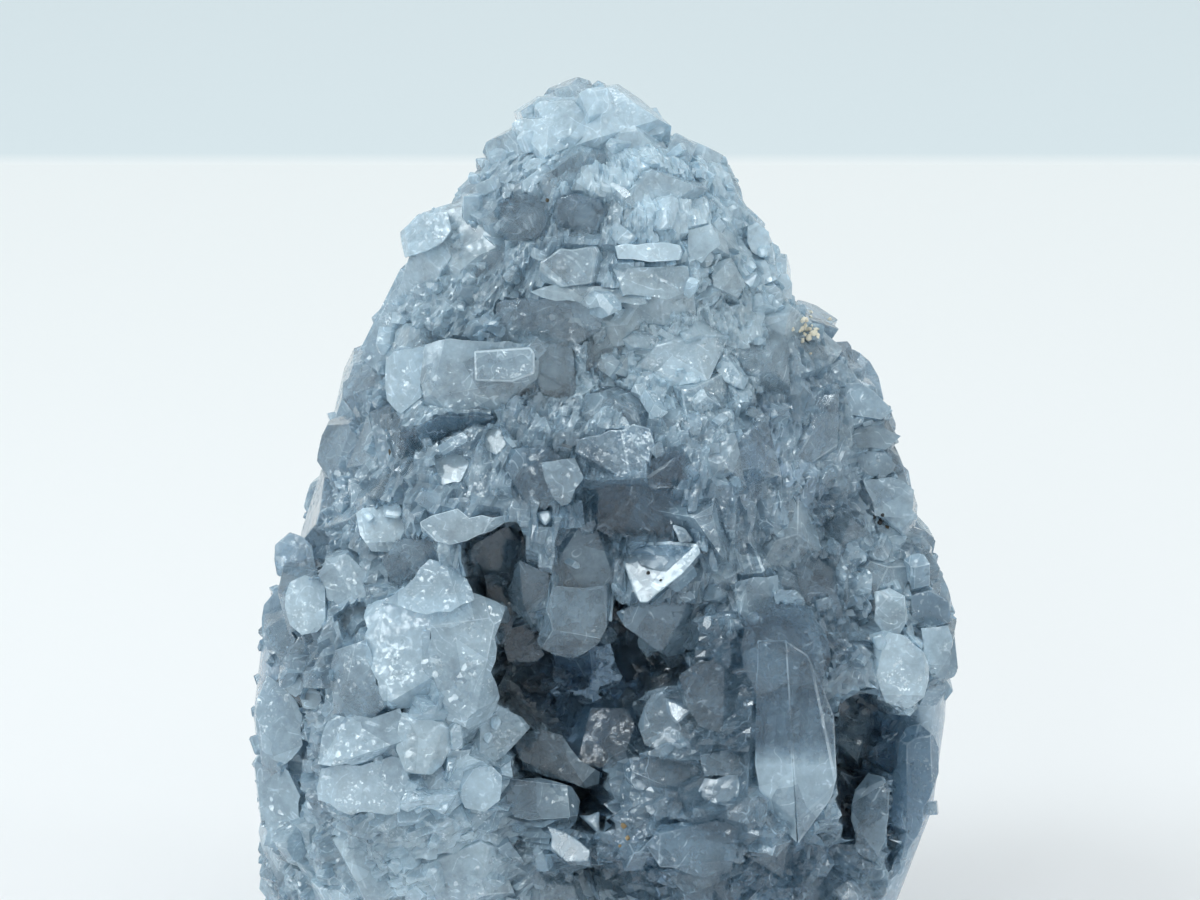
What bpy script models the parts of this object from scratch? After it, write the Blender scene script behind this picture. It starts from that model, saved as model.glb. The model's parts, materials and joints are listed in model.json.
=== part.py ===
"""Celestite crystal cluster: a section of geode wall with its crystals, cut flat to stand upright.

Metres, +Z up. The crystal face looks along -Y, +X is to its right, and the origin is on the
base plane under the middle of the piece. The wall and its crystals grew as one piece, so they
are one solid.
"""

import math
import random
from collections import namedtuple

import bmesh
import bpy
import numpy as np
from mathutils import Matrix, Vector

MM = 0.001

# Driving dimensions of the wall, before its crystals
WALL_HEIGHT = 113 * MM

# Height above the base against the wall's reach to the left, right, front and back, all in mm
WALL_REACH = (
    (0, 42.5, 32.0, 20.0, 17.0),
    (12, 43.5, 38.0, 22.5, 20.5),
    (24, 44.0, 42.2, 24.0, 23.0),
    (36, 45.0, 43.6, 25.0, 24.0),
    (48, 43.5, 43.8, 25.0, 23.5),
    (58, 38.5, 40.5, 24.0, 22.0),
    (68, 34.0, 34.0, 22.5, 20.5),
    (78, 30.0, 31.5, 20.5, 18.5),
    (88, 25.0, 24.5, 17.5, 16.0),
    (98, 20.0, 18.5, 14.0, 13.0),
    (105, 14.5, 14.0, 11.0, 10.5),
    (109, 11.5, 9.0, 8.5, 8.0),
    (111.5, 9.0, 5.5, 6.0, 5.5),
    (113, 7.0, 2.0, 3.5, 3.0),
)
# Height against the outline's reach to the left and right, in mm: no crystal stands past it
OUTLINE = (
    (0, 43.0, 33.0),
    (12, 44.3, 38.2),
    (24, 44.3, 42.4),
    (36, 45.4, 44.0),
    (48, 44.2, 45.0),
    (56, 41.8, 43.0),
    (64, 38.0, 39.6),
    (72, 36.7, 37.0),
    (78, 33.6, 36.2),
    (84, 31.8, 31.5),
    (88, 28.6, 28.2),
    (95, 25.8, 23.4),
    (102, 23.6, 18.8),
    (105, 18.4, 16.6),
    (110, 15.5, 14.6),
    (115, 10.6, 6.0),
    (118, 6.6, 0.6),
)
BEHIND = 3 * MM  # how far crystals may reach past half the depth of the back
FRONT_FULLNESS = 2.6  # 2 is an ellipse, more is boxier
BACK_FULLNESS = 2.2

# Lobes that stand out of the crystal face, and hollows that sink into it, in mm
Swell = namedtuple("Swell", "across height half_width half_height out")
SWELLS = (
    Swell(-22, 42, 11, 20, 9.0),  # left lobe
    Swell(-16, 14, 18, 10, 5.0),  # its foot
    Swell(19, 34, 12, 15, 9.0),  # right lobe
    Swell(10, 16, 12, 9, 5.0),  # its foot
    Swell(3, 71, 24, 7, 6.0),  # brow over the pocket
    Swell(0, 101, 13, 8, 2.5),  # summit
    Swell(-8, 57, 17, 6.5, -11.0),  # dark recess under the brow
    Swell(-3, 43, 10.5, 12, -26.0),  # main pocket
    Swell(0, 24, 6.5, 9, -12.0),  # its gully
    Swell(34, 34, 5, 9, -17.0),  # right hollow
    Swell(-35, 40, 4, 11, -9.0),  # left hollow
)

# Gentle unevenness of the smooth back: out in mm, waves along the height and around it
BACK_WAVES = ((0.9, 2.3, 3.0), (0.5, 5.1, 7.0), (0.35, 9.0, 4.0))

# The eye that the placed crystals are given for: how far above the front, how far off, and the
# height it is aimed at
VIEW_ELEVATION = math.radians(15)
VIEW_DISTANCE = 750 * MM
VIEW_CENTRE = 68 * MM

# Crystals that can be told apart, in mm and degrees. Across and up are the middle of each one as
# seen, from the middle of the base, and lift is how far that middle stands out of the wall.
# Heading is the way that the tip points as seen (0 right, 90 up), and toward is its tilt towards
# the viewer.
Placed = namedtuple("Placed", "across up lift heading toward length width thick roll tip")
PLACED = (
    # Summit
    Placed(-5, 109.3, 1, 84, 42, 15, 13, 12, 20, "blunt"),
    Placed(-11.5, 105.5, 0, 120, 45, 13, 11, 10, 50, "blunt"),
    Placed(3, 107, 1, 70, 55, 13, 9, 10, 10, "blunt"),
    Placed(11, 103.5, 0, 60, 40, 12, 8, 8, 35, "blunt"),
    Placed(14.5, 101.5, 0, 30, 30, 11, 7, 7, 60, "blunt"),
    Placed(-15.5, 98.5, 1, 170, 40, 11, 7, 7, 15, "blunt"),
    Placed(-4, 101, 2, 250, 70, 12, 12, 10, 30, "broken"),
    Placed(6, 99.5, 2, 310, 65, 11, 10, 9, 70, "broken"),
    # Bright broken pair and the shelf under it
    Placed(-11, 96.5, 2, 330, 45, 11, 8, 7, 25, "point"),
    Placed(-4, 97, 2, 10, 40, 11, 8, 7, 60, "blunt"),
    Placed(-8, 92.5, 1, 12, 20, 17, 6, 6, 0, "chisel"),
    Placed(6, 92.5, 1, 2, 18, 15, 5.5, 6, 5, "blunt"),
    Placed(3, 87.5, 1, 352, 20, 19, 6, 7, 12, "chisel"),
    Placed(18.5, 96, 1, 320, 45, 11, 7, 7, 20, "point"),
    Placed(12, 95, 1, 70, 55, 11, 8, 7, 0, "blunt"),
    # Left shoulder
    Placed(-18, 92.5, 1, 70, 38, 17, 10, 10, 20, "blunt"),
    Placed(-23.5, 94, 1, 105, 30, 11, 8, 8, 45, "blunt"),
    Placed(-24.5, 86, 1, 62, 30, 17, 9, 9, 0, "blunt"),
    Placed(-29, 81.5, 0, 125, 40, 11, 8, 8, 30, "point"),
    # Slabs across the middle
    Placed(-14.5, 79, 2, 355, 55, 12, 9, 6.5, 4, "square"),
    Placed(-23, 77, 1, 110, 55, 13, 9, 8, 20, "blunt"),
    Placed(-4.5, 81, 0, 285, 50, 17, 14, 10, 12, "broken"),
    Placed(-20, 70.5, 2, 22, 35, 19, 7, 10, 340, "chisel"),
    Placed(-9, 73, 1, 40, 55, 14, 11, 9, 15, "broken"),
    Placed(2, 70.5, 1, 195, 55, 14, 10, 9, 15, "blunt"),
    Placed(-5, 65, 2, 215, 55, 14, 10, 9, 40, "broken"),
    Placed(13, 74, 0, 330, 65, 13, 9, 8, 10, "broken"),
    Placed(9, 79, 1, 60, 60, 13, 10, 9, 55, "blunt"),
    Placed(21, 83, 1, 40, 55, 13, 9, 9, 30, "point"),
    # Right edge
    Placed(33.5, 74, 0, 335, 25, 12, 7, 7, 30, "point"),
    Placed(35, 69.5, 0, 352, 25, 12, 6, 6, 0, "point"),
    Placed(34, 65, 0, 5, 25, 11, 6, 7, 20, "blunt"),
    Placed(35.5, 61.5, 1, 347, 28, 14, 7.5, 8, 10, "blunt"),
    Placed(39, 55, 0, 10, 30, 12, 7, 7, 40, "blunt"),
    Placed(41.5, 49.5, 0, 20, 30, 11, 7, 8, 15, "blunt"),
    Placed(41.5, 43, 0, 345, 40, 11, 8, 8, 70, "blunt"),
    # Brow of the pocket
    Placed(-15.5, 58, 3, 335, 50, 14, 9, 9, 20, "blunt"),
    Placed(-4, 50, 8, 262, 26, 20, 10.5, 9, 8, "point"),
    Placed(-10.5, 54, 5, 240, 45, 13, 7, 7, 50, "chisel"),
    Placed(7.2, 53, 9, 262, 58, 13, 10.5, 8, 3, "point"),
    Placed(13.5, 46.5, 4, 235, 55, 13, 9, 9, 60, "broken"),
    Placed(20.5, 48.5, 4, 262, 45, 13, 7.5, 7, 20, "point"),
    Placed(-28, 58.5, 1, 20, 60, 12, 9, 9, 35, "blunt"),
    Placed(-23, 55, 2, 250, 60, 12, 9, 9, 10, "blunt"),
    Placed(12, 58, 2, 300, 55, 14, 11, 10, 20, "chisel"),
    # Left lobe
    Placed(-21.5, 48, 4, 88, 50, 18, 15, 14, 15, "blunt"),
    Placed(-19, 39.5, 3, 20, 68, 15, 11.5, 11, 35, "broken"),
    Placed(-25, 37, 4, 190, 62, 16, 14, 13, 60, "blunt"),
    Placed(-14.5, 49, 3, 75, 45, 10, 5.5, 5.5, 20, "chisel"),
    Placed(-37, 47, 4, 262, 60, 11, 9, 9, 10, "blunt"),
    Placed(-31.5, 45.5, 3, 300, 50, 10, 6, 6, 30, "point"),
    Placed(-12, 31, 4, 352, 45, 14, 8, 8, 30, "point"),
    Placed(-38.5, 37.5, 3, 300, 55, 9, 5.5, 5.5, 0, "blunt"),
    Placed(-35, 35, 3, 310, 55, 9, 5.5, 5.5, 40, "point"),
    Placed(-29, 27.5, 3, 215, 58, 15, 12, 11, 10, "blunt"),
    Placed(-20, 26, 3, 320, 62, 15, 11, 10, 55, "blunt"),
    Placed(-37, 19.5, 2, 245, 50, 12, 6, 6, 15, "chisel"),
    Placed(-30, 14.5, 3, 200, 60, 14, 11, 10, 30, "blunt"),
    Placed(-19, 13.5, 3, 290, 60, 14, 11, 10, 20, "blunt"),
    # Right lobe
    Placed(21.5, 28.5, 6, 277, 30, 26, 11, 10, 20, "point"),
    Placed(27.5, 31, 5, 274, 24, 21, 9, 9, 340, "chisel"),
    Placed(11, 36, 4, 245, 60, 16, 13, 12, 40, "blunt"),
    Placed(20, 40, 3, 262, 55, 15, 12, 11, 15, "blunt"),
    Placed(8.5, 26.5, 4, 184, 45, 16, 8.5, 9, 5, "square"),
    Placed(13, 17, 5, 292, 52, 17, 13, 8, 12, "point"),
    Placed(17, 22, 3, 210, 55, 13, 9, 9, 70, "broken"),
    # Right rim
    Placed(38.5, 40, 5, 282, 55, 13, 9.5, 6.5, 15, "blunt"),
    Placed(40.5, 22.5, 2, 83, 22, 25, 7, 7, 10, "chisel"),
    Placed(34.5, 23, 2, 72, 45, 13, 6.5, 6, 35, "blunt"),
    Placed(30.5, 17, 1, 60, 50, 12, 7.5, 7, 0, "blunt"),
    # Foot of the pocket
    Placed(-8, 22, 4, 2, 40, 14, 8, 8, 10, "square"),
    Placed(-2, 16.5, 3, 20, 50, 12, 8, 8, 40, "point"),
    Placed(3.5, 11, 3, 350, 50, 12, 8.5, 8, 25, "point"),
    Placed(-8, 10, 3, 250, 55, 13, 10, 9, 15, "blunt"),
    Placed(26.5, 9.5, 1, 45, 55, 13, 9, 9, 25, "blunt"),
)

# Crystals that fill the face between the placed ones
FILL_SEED = 7
FILL_TRIES = 6000
FILL_SPACING = 7.0 * MM
FILL_CLEARANCE = 0.42  # share of a placed crystal's width that fill crystals keep clear of
FILL_LENGTH = (8.0 * MM, 12.0 * MM)
FILL_SLENDERNESS = (0.72, 0.95)  # width against length
FILL_SUNK = 0.55  # share of the length under the wall's skin
HOLLOW_DEPTH = 5 * MM  # fill crystals are shorter where the face is sunk by more than this
SIDE_TURN = math.radians(14)  # how far crystals reach round the edge, past the silhouette

# Where the edge of the wall is ground smooth and bare: side, from and to height, width, in mm
RIMS = (
    (-1, 29, 63, 5.5),
    (1, -1, 45, 6.5),
)

RING_COUNT = 17
FRONT_POINTS = 26
BACK_POINTS = 14
CUT_REACH = 0.3  # half side of the block that cuts the base flat


def reach_at(height):
    """The wall's reach to the left, right, front and back at a height, in metres."""
    table = np.array(WALL_REACH) * MM
    return [float(np.interp(height, table[:, 0], column)) for column in table[:, 1:].T]


def past_outline(points):
    """The move that brings these points back inside the outline, and in front of the back."""
    table = np.array(OUTLINE) * MM
    right_over = max(p.x - float(np.interp(p.z, table[:, 0], table[:, 2])) for p in points)
    left_over = max(-p.x - float(np.interp(p.z, table[:, 0], table[:, 1])) for p in points)
    back_over = max(p.y - 0.5 * reach_at(p.z)[3] - BEHIND for p in points)
    return Vector((max(left_over, 0) - max(right_over, 0), -max(back_over, 0), 0))


def swell_at(x, height):
    """How far the lobes and hollows move the crystal face out, in metres."""
    total = 0.0
    for swell in SWELLS:
        u = (x / MM - swell.across) / swell.half_width
        v = (height / MM - swell.height) / swell.half_height
        total += swell.out * MM * math.exp(-(u * u + v * v))
    return total


def skin(turn, height):
    """The point of the wall's skin at a turn about +Z (0 is +X, pi / 2 is the back) and a height."""
    left, right, front, back = reach_at(height)
    middle = (right - left) / 2
    half = (right + left) / 2
    side = math.cos(turn)
    x = middle + half * side
    fullness = BACK_FULLNESS if math.sin(turn) > 0 else FRONT_FULLNESS
    bulge = (1 - abs(side) ** fullness) ** (1 / fullness)
    if math.sin(turn) > 0:
        rise = height / WALL_HEIGHT
        wave = sum(out * math.sin(up * rise * math.pi + around * turn) for out, up, around in BACK_WAVES)
        return Vector((x, (back + wave * MM * math.sin(turn) ** 2) * bulge, height))
    return Vector((x, -front * bulge - swell_at(x, height) * bulge, height))


def skin_normal(turn, height):
    step = math.radians(2)
    rise = 1.5 * MM
    around = skin(turn + step, height) - skin(turn - step, height)
    upward = skin(turn, min(height + rise, WALL_HEIGHT)) - skin(turn, height - rise)
    return around.cross(upward).normalized()


def turn_of(x, height):
    """The turn at which the front of the skin has this x."""
    left, right, _, _ = reach_at(height)
    side = (x - (right - left) / 2) / ((right + left) / 2)
    return -math.acos(max(-0.97, min(0.97, side)))


def view_axes():
    """Right, up and towards the eye."""
    sine, cosine = math.sin(VIEW_ELEVATION), math.cos(VIEW_ELEVATION)
    return Vector((1, 0, 0)), Vector((0, sine, cosine)), Vector((0, -cosine, sine))


def seen_point(across, up, lift):
    """The point that the eye sees at across and up, standing lift out of the crystal face."""
    right, above, toward = view_axes()
    eye = above * VIEW_CENTRE + toward * VIEW_DISTANCE
    flat = right * across + above * up
    near = 0.03
    for _ in range(16):
        point = flat.lerp(eye, near)
        height = min(max(point.z, 0), WALL_HEIGHT)
        gap = point.y - (skin(turn_of(point.x, height), height).y - lift)
        near += 0.5 * gap / VIEW_DISTANCE
    return point


def on_rim(root):
    """Whether a spot of the skin lies on the bare ground edge."""
    left, right, _, _ = reach_at(root.z)
    for side, low, high, width in RIMS:
        inside = left + root.x if side < 0 else right - root.x
        if low * MM < root.z < high * MM and inside < width * MM:
            return True
    return False


def cut_away(shape, point, normal):
    """Takes off what lies past a plane and closes the cut with one flat face."""
    parts = shape.verts[:] + shape.edges[:] + shape.faces[:]
    cut = bmesh.ops.bisect_plane(
        shape, geom=parts, plane_co=point, plane_no=normal, clear_outer=True, dist=1e-7
    )
    edges = [e for e in cut["geom_cut"] if isinstance(e, bmesh.types.BMEdge)]
    if edges:
        bmesh.ops.edgeloop_fill(shape, edges=edges)


def tip_planes(length, width, thick, tip, dice):
    """The flat faces that end a crystal, each a point and a normal."""
    top = Vector((0, 0, length))
    if tip == "broken":
        slope = math.radians(dice.uniform(48, 66))
        around = dice.uniform(0, math.tau)
        lean = Vector((math.cos(around) * math.cos(slope), math.sin(around) * math.cos(slope), math.sin(slope)))
        back_lean = Vector((-lean.x, -lean.y, lean.z + 0.6))
        return [(top - Vector((0, 0, 0.12 * length)), lean), (top - Vector((0, 0, 0.05 * length)), back_lean)]
    if tip == "square":
        lean = Vector((dice.uniform(-0.12, 0.12), dice.uniform(-0.12, 0.12), 1))
        return [(top - Vector((0, 0, 0.02 * length)), lean)]
    if tip == "chisel":
        slopes = ((0, 34), (180, 42), (90, 68), (270, 66))
    elif tip == "point":
        slopes = ((0, 38), (180, 34), (90, 44), (270, 40))
    else:
        slopes = ((0, 52), (180, 46), (90, 55), (270, 58))
    planes = []
    for around, slope in slopes:
        around = math.radians(around + dice.uniform(-12, 12))
        slope = math.radians(slope + dice.uniform(-6, 6))
        off = Vector((dice.uniform(-0.1, 0.1) * width, dice.uniform(-0.1, 0.1) * thick, 0))
        flat = math.cos(slope)
        planes.append((top + off, Vector((math.cos(around) * flat, math.sin(around) * flat, math.sin(slope)))))
    if tip == "blunt":
        planes.append((top - Vector((0, 0, 0.1 * width)), Vector((dice.uniform(-0.2, 0.2), 0.1, 1))))
    return planes


def crystal(length, width, thick, tip, corners, dice):
    """A crystal with flat faces, its root at the origin and its tip along +Z."""
    shape = bmesh.new()
    bmesh.ops.create_cube(shape, size=1)
    box = Matrix.Translation((0, 0, length / 2)) @ Matrix.Diagonal((width, thick, length, 1))
    shape.transform(box)
    for corner in corners:
        around = math.radians(45 * corner + dice.uniform(-9, 9))
        out = Vector((math.cos(around), math.sin(around), dice.uniform(-0.03, 0.06)))
        corner_reach = abs(out.x) * width / 2 + abs(out.y) * thick / 2
        cut_away(shape, out * corner_reach * dice.uniform(0.72, 0.86), out)
    for point, normal in tip_planes(length, width, thick, tip, dice):
        cut_away(shape, point, normal)
    bmesh.ops.recalc_face_normals(shape, faces=shape.faces)
    return shape


def aimed(point, axis, roll, length, sunk):
    """Places a crystal with its axis along a direction and a share of it below the point."""
    turned = axis.to_track_quat("Z", "Y").to_matrix().to_4x4()
    return (
        Matrix.Translation(point - axis * length * sunk)
        @ turned
        @ Matrix.Rotation(roll, 4, "Z")
    )


def kept_inside(shape, matrix):
    """The crystal in its place, moved in if it stands past the outline."""
    shape.transform(matrix)
    shape.transform(Matrix.Translation(past_outline([v.co for v in shape.verts if v.co.z > 0])))
    return shape


def placed_crystals():
    """The crystals of PLACED, each with its middle and its width."""
    dice = random.Random(FILL_SEED + 1)
    right, up, toward = view_axes()
    for item in PLACED:
        heading = math.radians(item.heading)
        tilt = math.radians(item.toward)
        axis = (right * math.cos(heading) + up * math.sin(heading)) * math.cos(tilt)
        axis += toward * math.sin(tilt)
        middle = seen_point(item.across * MM, item.up * MM, item.lift * MM)
        length, width, thick = item.length * MM, item.width * MM, item.thick * MM
        shape = crystal(length, width, thick, item.tip, (1, 5), dice)
        matrix = aimed(middle, axis, math.radians(item.roll), length, 0.5)
        yield kept_inside(shape, matrix), middle, width


def fill_crystals(taken):
    """Crystals strewn over the face and its edges, clear of the middles already taken."""
    dice = random.Random(FILL_SEED)
    roots = []
    for _ in range(FILL_TRIES):
        height = dice.uniform(1 * MM, WALL_HEIGHT - 1 * MM)
        turn = -dice.uniform(-SIDE_TURN, math.pi + SIDE_TURN)
        root = skin(turn, height)
        if on_rim(root) or any((root - other).length < FILL_SPACING for other in roots):
            continue
        if any((root - middle).length < FILL_CLEARANCE * width for middle, width in taken):
            continue
        roots.append(root)
        length = dice.uniform(*FILL_LENGTH)
        if swell_at(root.x, height) < -HOLLOW_DEPTH:
            length *= 0.75
        width = length * dice.uniform(*FILL_SLENDERNESS)
        thick = width * dice.uniform(0.75, 1.0)
        axis = skin_normal(turn, height) + Vector([dice.gauss(0, 0.4) for _ in range(3)])
        axis = Vector((0.6 * axis.x, axis.y - 0.35, axis.z))
        tip = dice.choice(("point", "chisel", "blunt", "blunt", "broken"))
        shape = crystal(length, width, thick, tip, (), dice)
        matrix = aimed(root, axis.normalized(), dice.uniform(0, math.tau), length, FILL_SUNK)
        yield kept_inside(shape, matrix)


def wall_shape():
    """The wall of the geode: rings of skin from the base to the summit, closed at both ends."""
    shape = bmesh.new()
    turns = [math.pi * step / BACK_POINTS for step in range(BACK_POINTS)]
    turns += [math.pi * (1 + step / FRONT_POINTS) for step in range(FRONT_POINTS)]
    rings = []
    for ring in range(RING_COUNT):
        height = WALL_HEIGHT * (-0.04 + 1.04 * (ring / (RING_COUNT - 1)) ** 0.9)
        below = Vector((0, 0, min(height, 0)))
        rings.append([shape.verts.new(skin(turn, max(height, 0)) + below) for turn in turns])
    for lower, upper in zip(rings, rings[1:]):
        for step in range(len(turns)):
            after = (step + 1) % len(turns)
            shape.faces.new((lower[step], lower[after], upper[after], upper[step]))
    shape.faces.new(list(reversed(rings[0])))
    shape.faces.new(rings[-1])
    return shape


def object_of(name, shape, collection):
    mesh = bpy.data.meshes.new(name)
    shape.to_mesh(mesh)
    shape.free()
    made = bpy.data.objects.new(name, mesh)
    collection.objects.link(made)
    return made


def material_of(name, colour, roughness):
    material = bpy.data.materials.new(name)
    material.use_nodes = True
    shader = material.node_tree.nodes["Principled BSDF"]
    shader.inputs["Base Color"].default_value = (*colour, 1)
    shader.inputs["Roughness"].default_value = roughness
    shader.inputs["Metallic"].default_value = 0
    return material


def apply_modifiers(thing):
    bpy.context.view_layer.update()
    graph = bpy.context.evaluated_depsgraph_get()
    mesh = bpy.data.meshes.new_from_object(thing.evaluated_get(graph))
    thing.modifiers.clear()
    thing.data = mesh


def keep_outer_skin(thing):
    """Fills the sealed gaps that crystals leave between them: only the outer skin is kept."""
    shape = bmesh.new()
    shape.from_mesh(thing.data)
    bmesh.ops.remove_doubles(shape, verts=shape.verts, dist=1e-6)
    waiting = set(shape.faces)
    skins = []
    while waiting:
        skin_faces = set()
        front = [waiting.pop()]
        while front:
            face = front.pop()
            skin_faces.add(face)
            linked = {near for edge in face.edges for near in edge.link_faces} & waiting
            waiting -= linked
            front.extend(linked)
        skins.append(skin_faces)
    outer = max(skins, key=lambda faces: sum(face.calc_area() for face in faces))
    inner = [face for face in shape.faces if face not in outer]
    bmesh.ops.delete(shape, geom=inner, context="FACES")
    shape.to_mesh(thing.data)
    shape.free()


def move_over_origin(thing):
    """Puts the middle of the finished piece over the origin."""
    corners = [Vector(corner) for corner in thing.bound_box]
    middle = (Vector(map(min, *corners)) + Vector(map(max, *corners))) / 2
    thing.data.transform(Matrix.Translation((-middle.x, -middle.y, 0)))


def main():
    for old in list(bpy.data.objects):
        bpy.data.objects.remove(old)
    scene_objects = bpy.context.scene.collection
    helpers = bpy.data.collections.new("crystal_shapes")
    helpers.hide_render = True
    scene_objects.children.link(helpers)

    taken = []
    for number, (shape, middle, width) in enumerate(placed_crystals()):
        object_of(f"placed_{number}", shape, helpers)
        taken.append((middle, width))
    for number, shape in enumerate(fill_crystals(taken)):
        object_of(f"fill_{number}", shape, helpers)

    cluster = object_of("celestite_cluster", wall_shape(), scene_objects)
    cluster.data.materials.append(material_of("blue_grey_celestite", (0.42, 0.53, 0.62), 0.25))
    grow = cluster.modifiers.new("grow crystals", "BOOLEAN")
    grow.operation = "UNION"
    grow.solver = "EXACT"
    grow.operand_type = "COLLECTION"
    grow.collection = helpers

    block = bmesh.new()
    bmesh.ops.create_cube(block, size=2 * CUT_REACH)
    block.transform(Matrix.Translation((0, 0, -CUT_REACH)))
    saw = object_of("saw_block", block, scene_objects)
    saw.hide_render = True
    saw.display_type = "WIRE"
    cut = cluster.modifiers.new("flat base", "BOOLEAN")
    cut.operation = "DIFFERENCE"
    cut.solver = "EXACT"
    cut.object = saw
    apply_modifiers(cluster)
    for helper in list(helpers.objects) + [saw]:
        bpy.data.objects.remove(helper)
    bpy.data.collections.remove(helpers)
    keep_outer_skin(cluster)
    move_over_origin(cluster)


main()
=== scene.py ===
import json
import math
import random
from collections import namedtuple

import bmesh
import bpy
import numpy as np
from mathutils import Matrix, Vector
from mathutils.bvhtree import BVHTree
from mathutils.kdtree import KDTree

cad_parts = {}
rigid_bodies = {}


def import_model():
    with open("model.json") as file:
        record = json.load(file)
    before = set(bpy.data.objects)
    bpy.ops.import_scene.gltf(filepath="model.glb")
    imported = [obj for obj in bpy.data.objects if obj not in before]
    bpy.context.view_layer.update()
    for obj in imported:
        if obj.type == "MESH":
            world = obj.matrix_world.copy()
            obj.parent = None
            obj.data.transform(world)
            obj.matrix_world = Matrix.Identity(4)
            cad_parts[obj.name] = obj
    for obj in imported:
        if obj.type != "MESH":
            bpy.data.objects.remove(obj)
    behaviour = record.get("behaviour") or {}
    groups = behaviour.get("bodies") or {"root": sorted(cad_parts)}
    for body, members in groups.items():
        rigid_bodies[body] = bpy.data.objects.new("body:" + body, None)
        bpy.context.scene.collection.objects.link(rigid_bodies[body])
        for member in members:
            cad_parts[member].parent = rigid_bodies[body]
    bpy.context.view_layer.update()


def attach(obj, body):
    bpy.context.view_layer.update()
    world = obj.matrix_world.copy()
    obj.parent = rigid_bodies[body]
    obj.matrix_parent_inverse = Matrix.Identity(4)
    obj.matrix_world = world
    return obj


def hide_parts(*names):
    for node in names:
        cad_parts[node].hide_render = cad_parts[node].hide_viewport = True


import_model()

mm = 0.001
nodeName = "celestite_cluster"

# Everything is built about the wall's own middle, then moved over the origin
moveBy = Vector((-0.0137, 10.4717, 0)) * mm

# The eye that the placed crystals are given for, which is also the camera's
eye = {
    "elevation": math.radians(15),
    "distance": 750 * mm,
    "aimedAt": 68 * mm,
}

wallLook = {
    "height": 113 * mm,
    # height, then reach to the left, right, front and back, in mm
    "reach": (
        (0, 42.5, 32.0, 20.0, 17.0),
        (12, 43.5, 38.0, 22.5, 20.5),
        (24, 44.0, 42.2, 24.0, 23.0),
        (36, 45.0, 43.6, 25.0, 24.0),
        (48, 43.5, 43.8, 25.0, 23.5),
        (58, 38.5, 40.5, 24.0, 22.0),
        (68, 34.0, 34.0, 22.5, 20.5),
        (78, 30.0, 31.5, 20.5, 18.5),
        (88, 25.0, 24.5, 17.5, 16.0),
        (98, 20.0, 18.5, 14.0, 13.0),
        (105, 14.5, 14.0, 11.0, 10.5),
        (109, 11.5, 9.0, 8.5, 8.0),
        (111.5, 9.0, 5.5, 6.0, 5.5),
        (113, 7.0, 2.0, 3.5, 3.0),
    ),
    "frontFullness": 2.6,  # 2 is an ellipse, more is boxier
    "backFullness": 2.2,
    # lobes and hollows of the face: across, height, half width, half height, out, in mm
    "swells": (
        (-22, 42, 11, 20, 9.0),  # left lobe
        (-16, 14, 18, 10, 5.0),  # its foot
        (19, 34, 12, 15, 9.0),  # right lobe
        (10, 16, 12, 9, 5.0),  # its foot
        (3, 71, 24, 7, 6.0),  # brow over the pocket
        (0, 101, 13, 8, 2.5),  # summit
        (-8, 57, 17, 6.5, -11.0),  # dark recess under the brow
        (-3, 43, 10.5, 12, -26.0),  # main pocket
        (0, 24, 6.5, 9, -12.0),  # its gully
        (34, 34, 5, 9, -17.0),  # right hollow
        (-35, 40, 4, 11, -9.0),  # left hollow
    ),
    # unevenness of the back: out in mm, waves along the height and around it
    "backWaves": ((0.9, 2.3, 3.0), (0.5, 5.1, 7.0), (0.35, 9.0, 4.0)),
    # where the edge is ground smooth and bare: side, from and to height, width, in mm
    "rims": ((-1, 29, 63, 5.5), (1, -1, 45, 6.5)),
    "rings": 215,
    "frontSteps": 290,
    "backSteps": 90,
}

# height, then how far crystals may stand to the left and right, in mm
outline = (
    (0, 43.0, 33.0),
    (12, 44.3, 38.2),
    (24, 44.3, 42.4),
    (36, 45.4, 44.0),
    (48, 44.2, 45.0),
    (56, 41.8, 43.0),
    (64, 38.0, 39.6),
    (72, 36.7, 37.0),
    (78, 33.6, 36.2),
    (84, 31.8, 31.5),
    (88, 28.6, 28.2),
    (95, 25.8, 23.4),
    (102, 23.6, 18.8),
    (105, 18.4, 16.6),
    (110, 15.5, 14.6),
    (115, 10.6, 6.0),
    (118, 6.6, 0.6),
)
behind = 3 * mm
ahead = -46.4 * mm  # as far forward as a crystal may reach


def reachAt(height):
    table = np.array(wallLook["reach"]) * mm
    return [float(np.interp(height, table[:, 0], column)) for column in table[:, 1:].T]


def pastOutline(points):  # the move that brings points back inside the outline
    table = np.array(outline) * mm
    rightOver = max(p.x - float(np.interp(p.z, table[:, 0], table[:, 2])) for p in points)
    leftOver = max(-p.x - float(np.interp(p.z, table[:, 0], table[:, 1])) for p in points)
    backOver = max(p.y - 0.5 * reachAt(p.z)[3] - behind for p in points)
    frontOver = max(ahead - p.y for p in points)
    return Vector((max(leftOver, 0) - max(rightOver, 0), max(frontOver, 0) - max(backOver, 0), 0))


def swellAt(x, height):
    total = 0.0
    for across, middle, halfWidth, halfHeight, out in wallLook["swells"]:
        u = (x / mm - across) / halfWidth
        v = (height / mm - middle) / halfHeight
        total += out * mm * math.exp(-(u * u + v * v))
    return total


def skin(turn, height):  # the wall's surface: turn 0 is +X, a quarter turn is the back
    left, right, front, back = reachAt(height)
    side = math.cos(turn)
    x = (right - left) / 2 + (right + left) / 2 * side
    fullness = wallLook["backFullness" if math.sin(turn) > 0 else "frontFullness"]
    bulge = (1 - abs(side) ** fullness) ** (1 / fullness)
    if math.sin(turn) > 0:
        rise = height / wallLook["height"]
        waves = wallLook["backWaves"]
        wave = sum(out * math.sin(up * rise * math.pi + around * turn) for out, up, around in waves)
        return Vector((x, (back + wave * mm * math.sin(turn) ** 2) * bulge, height))
    return Vector((x, -front * bulge - swellAt(x, height) * bulge, height))


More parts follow.
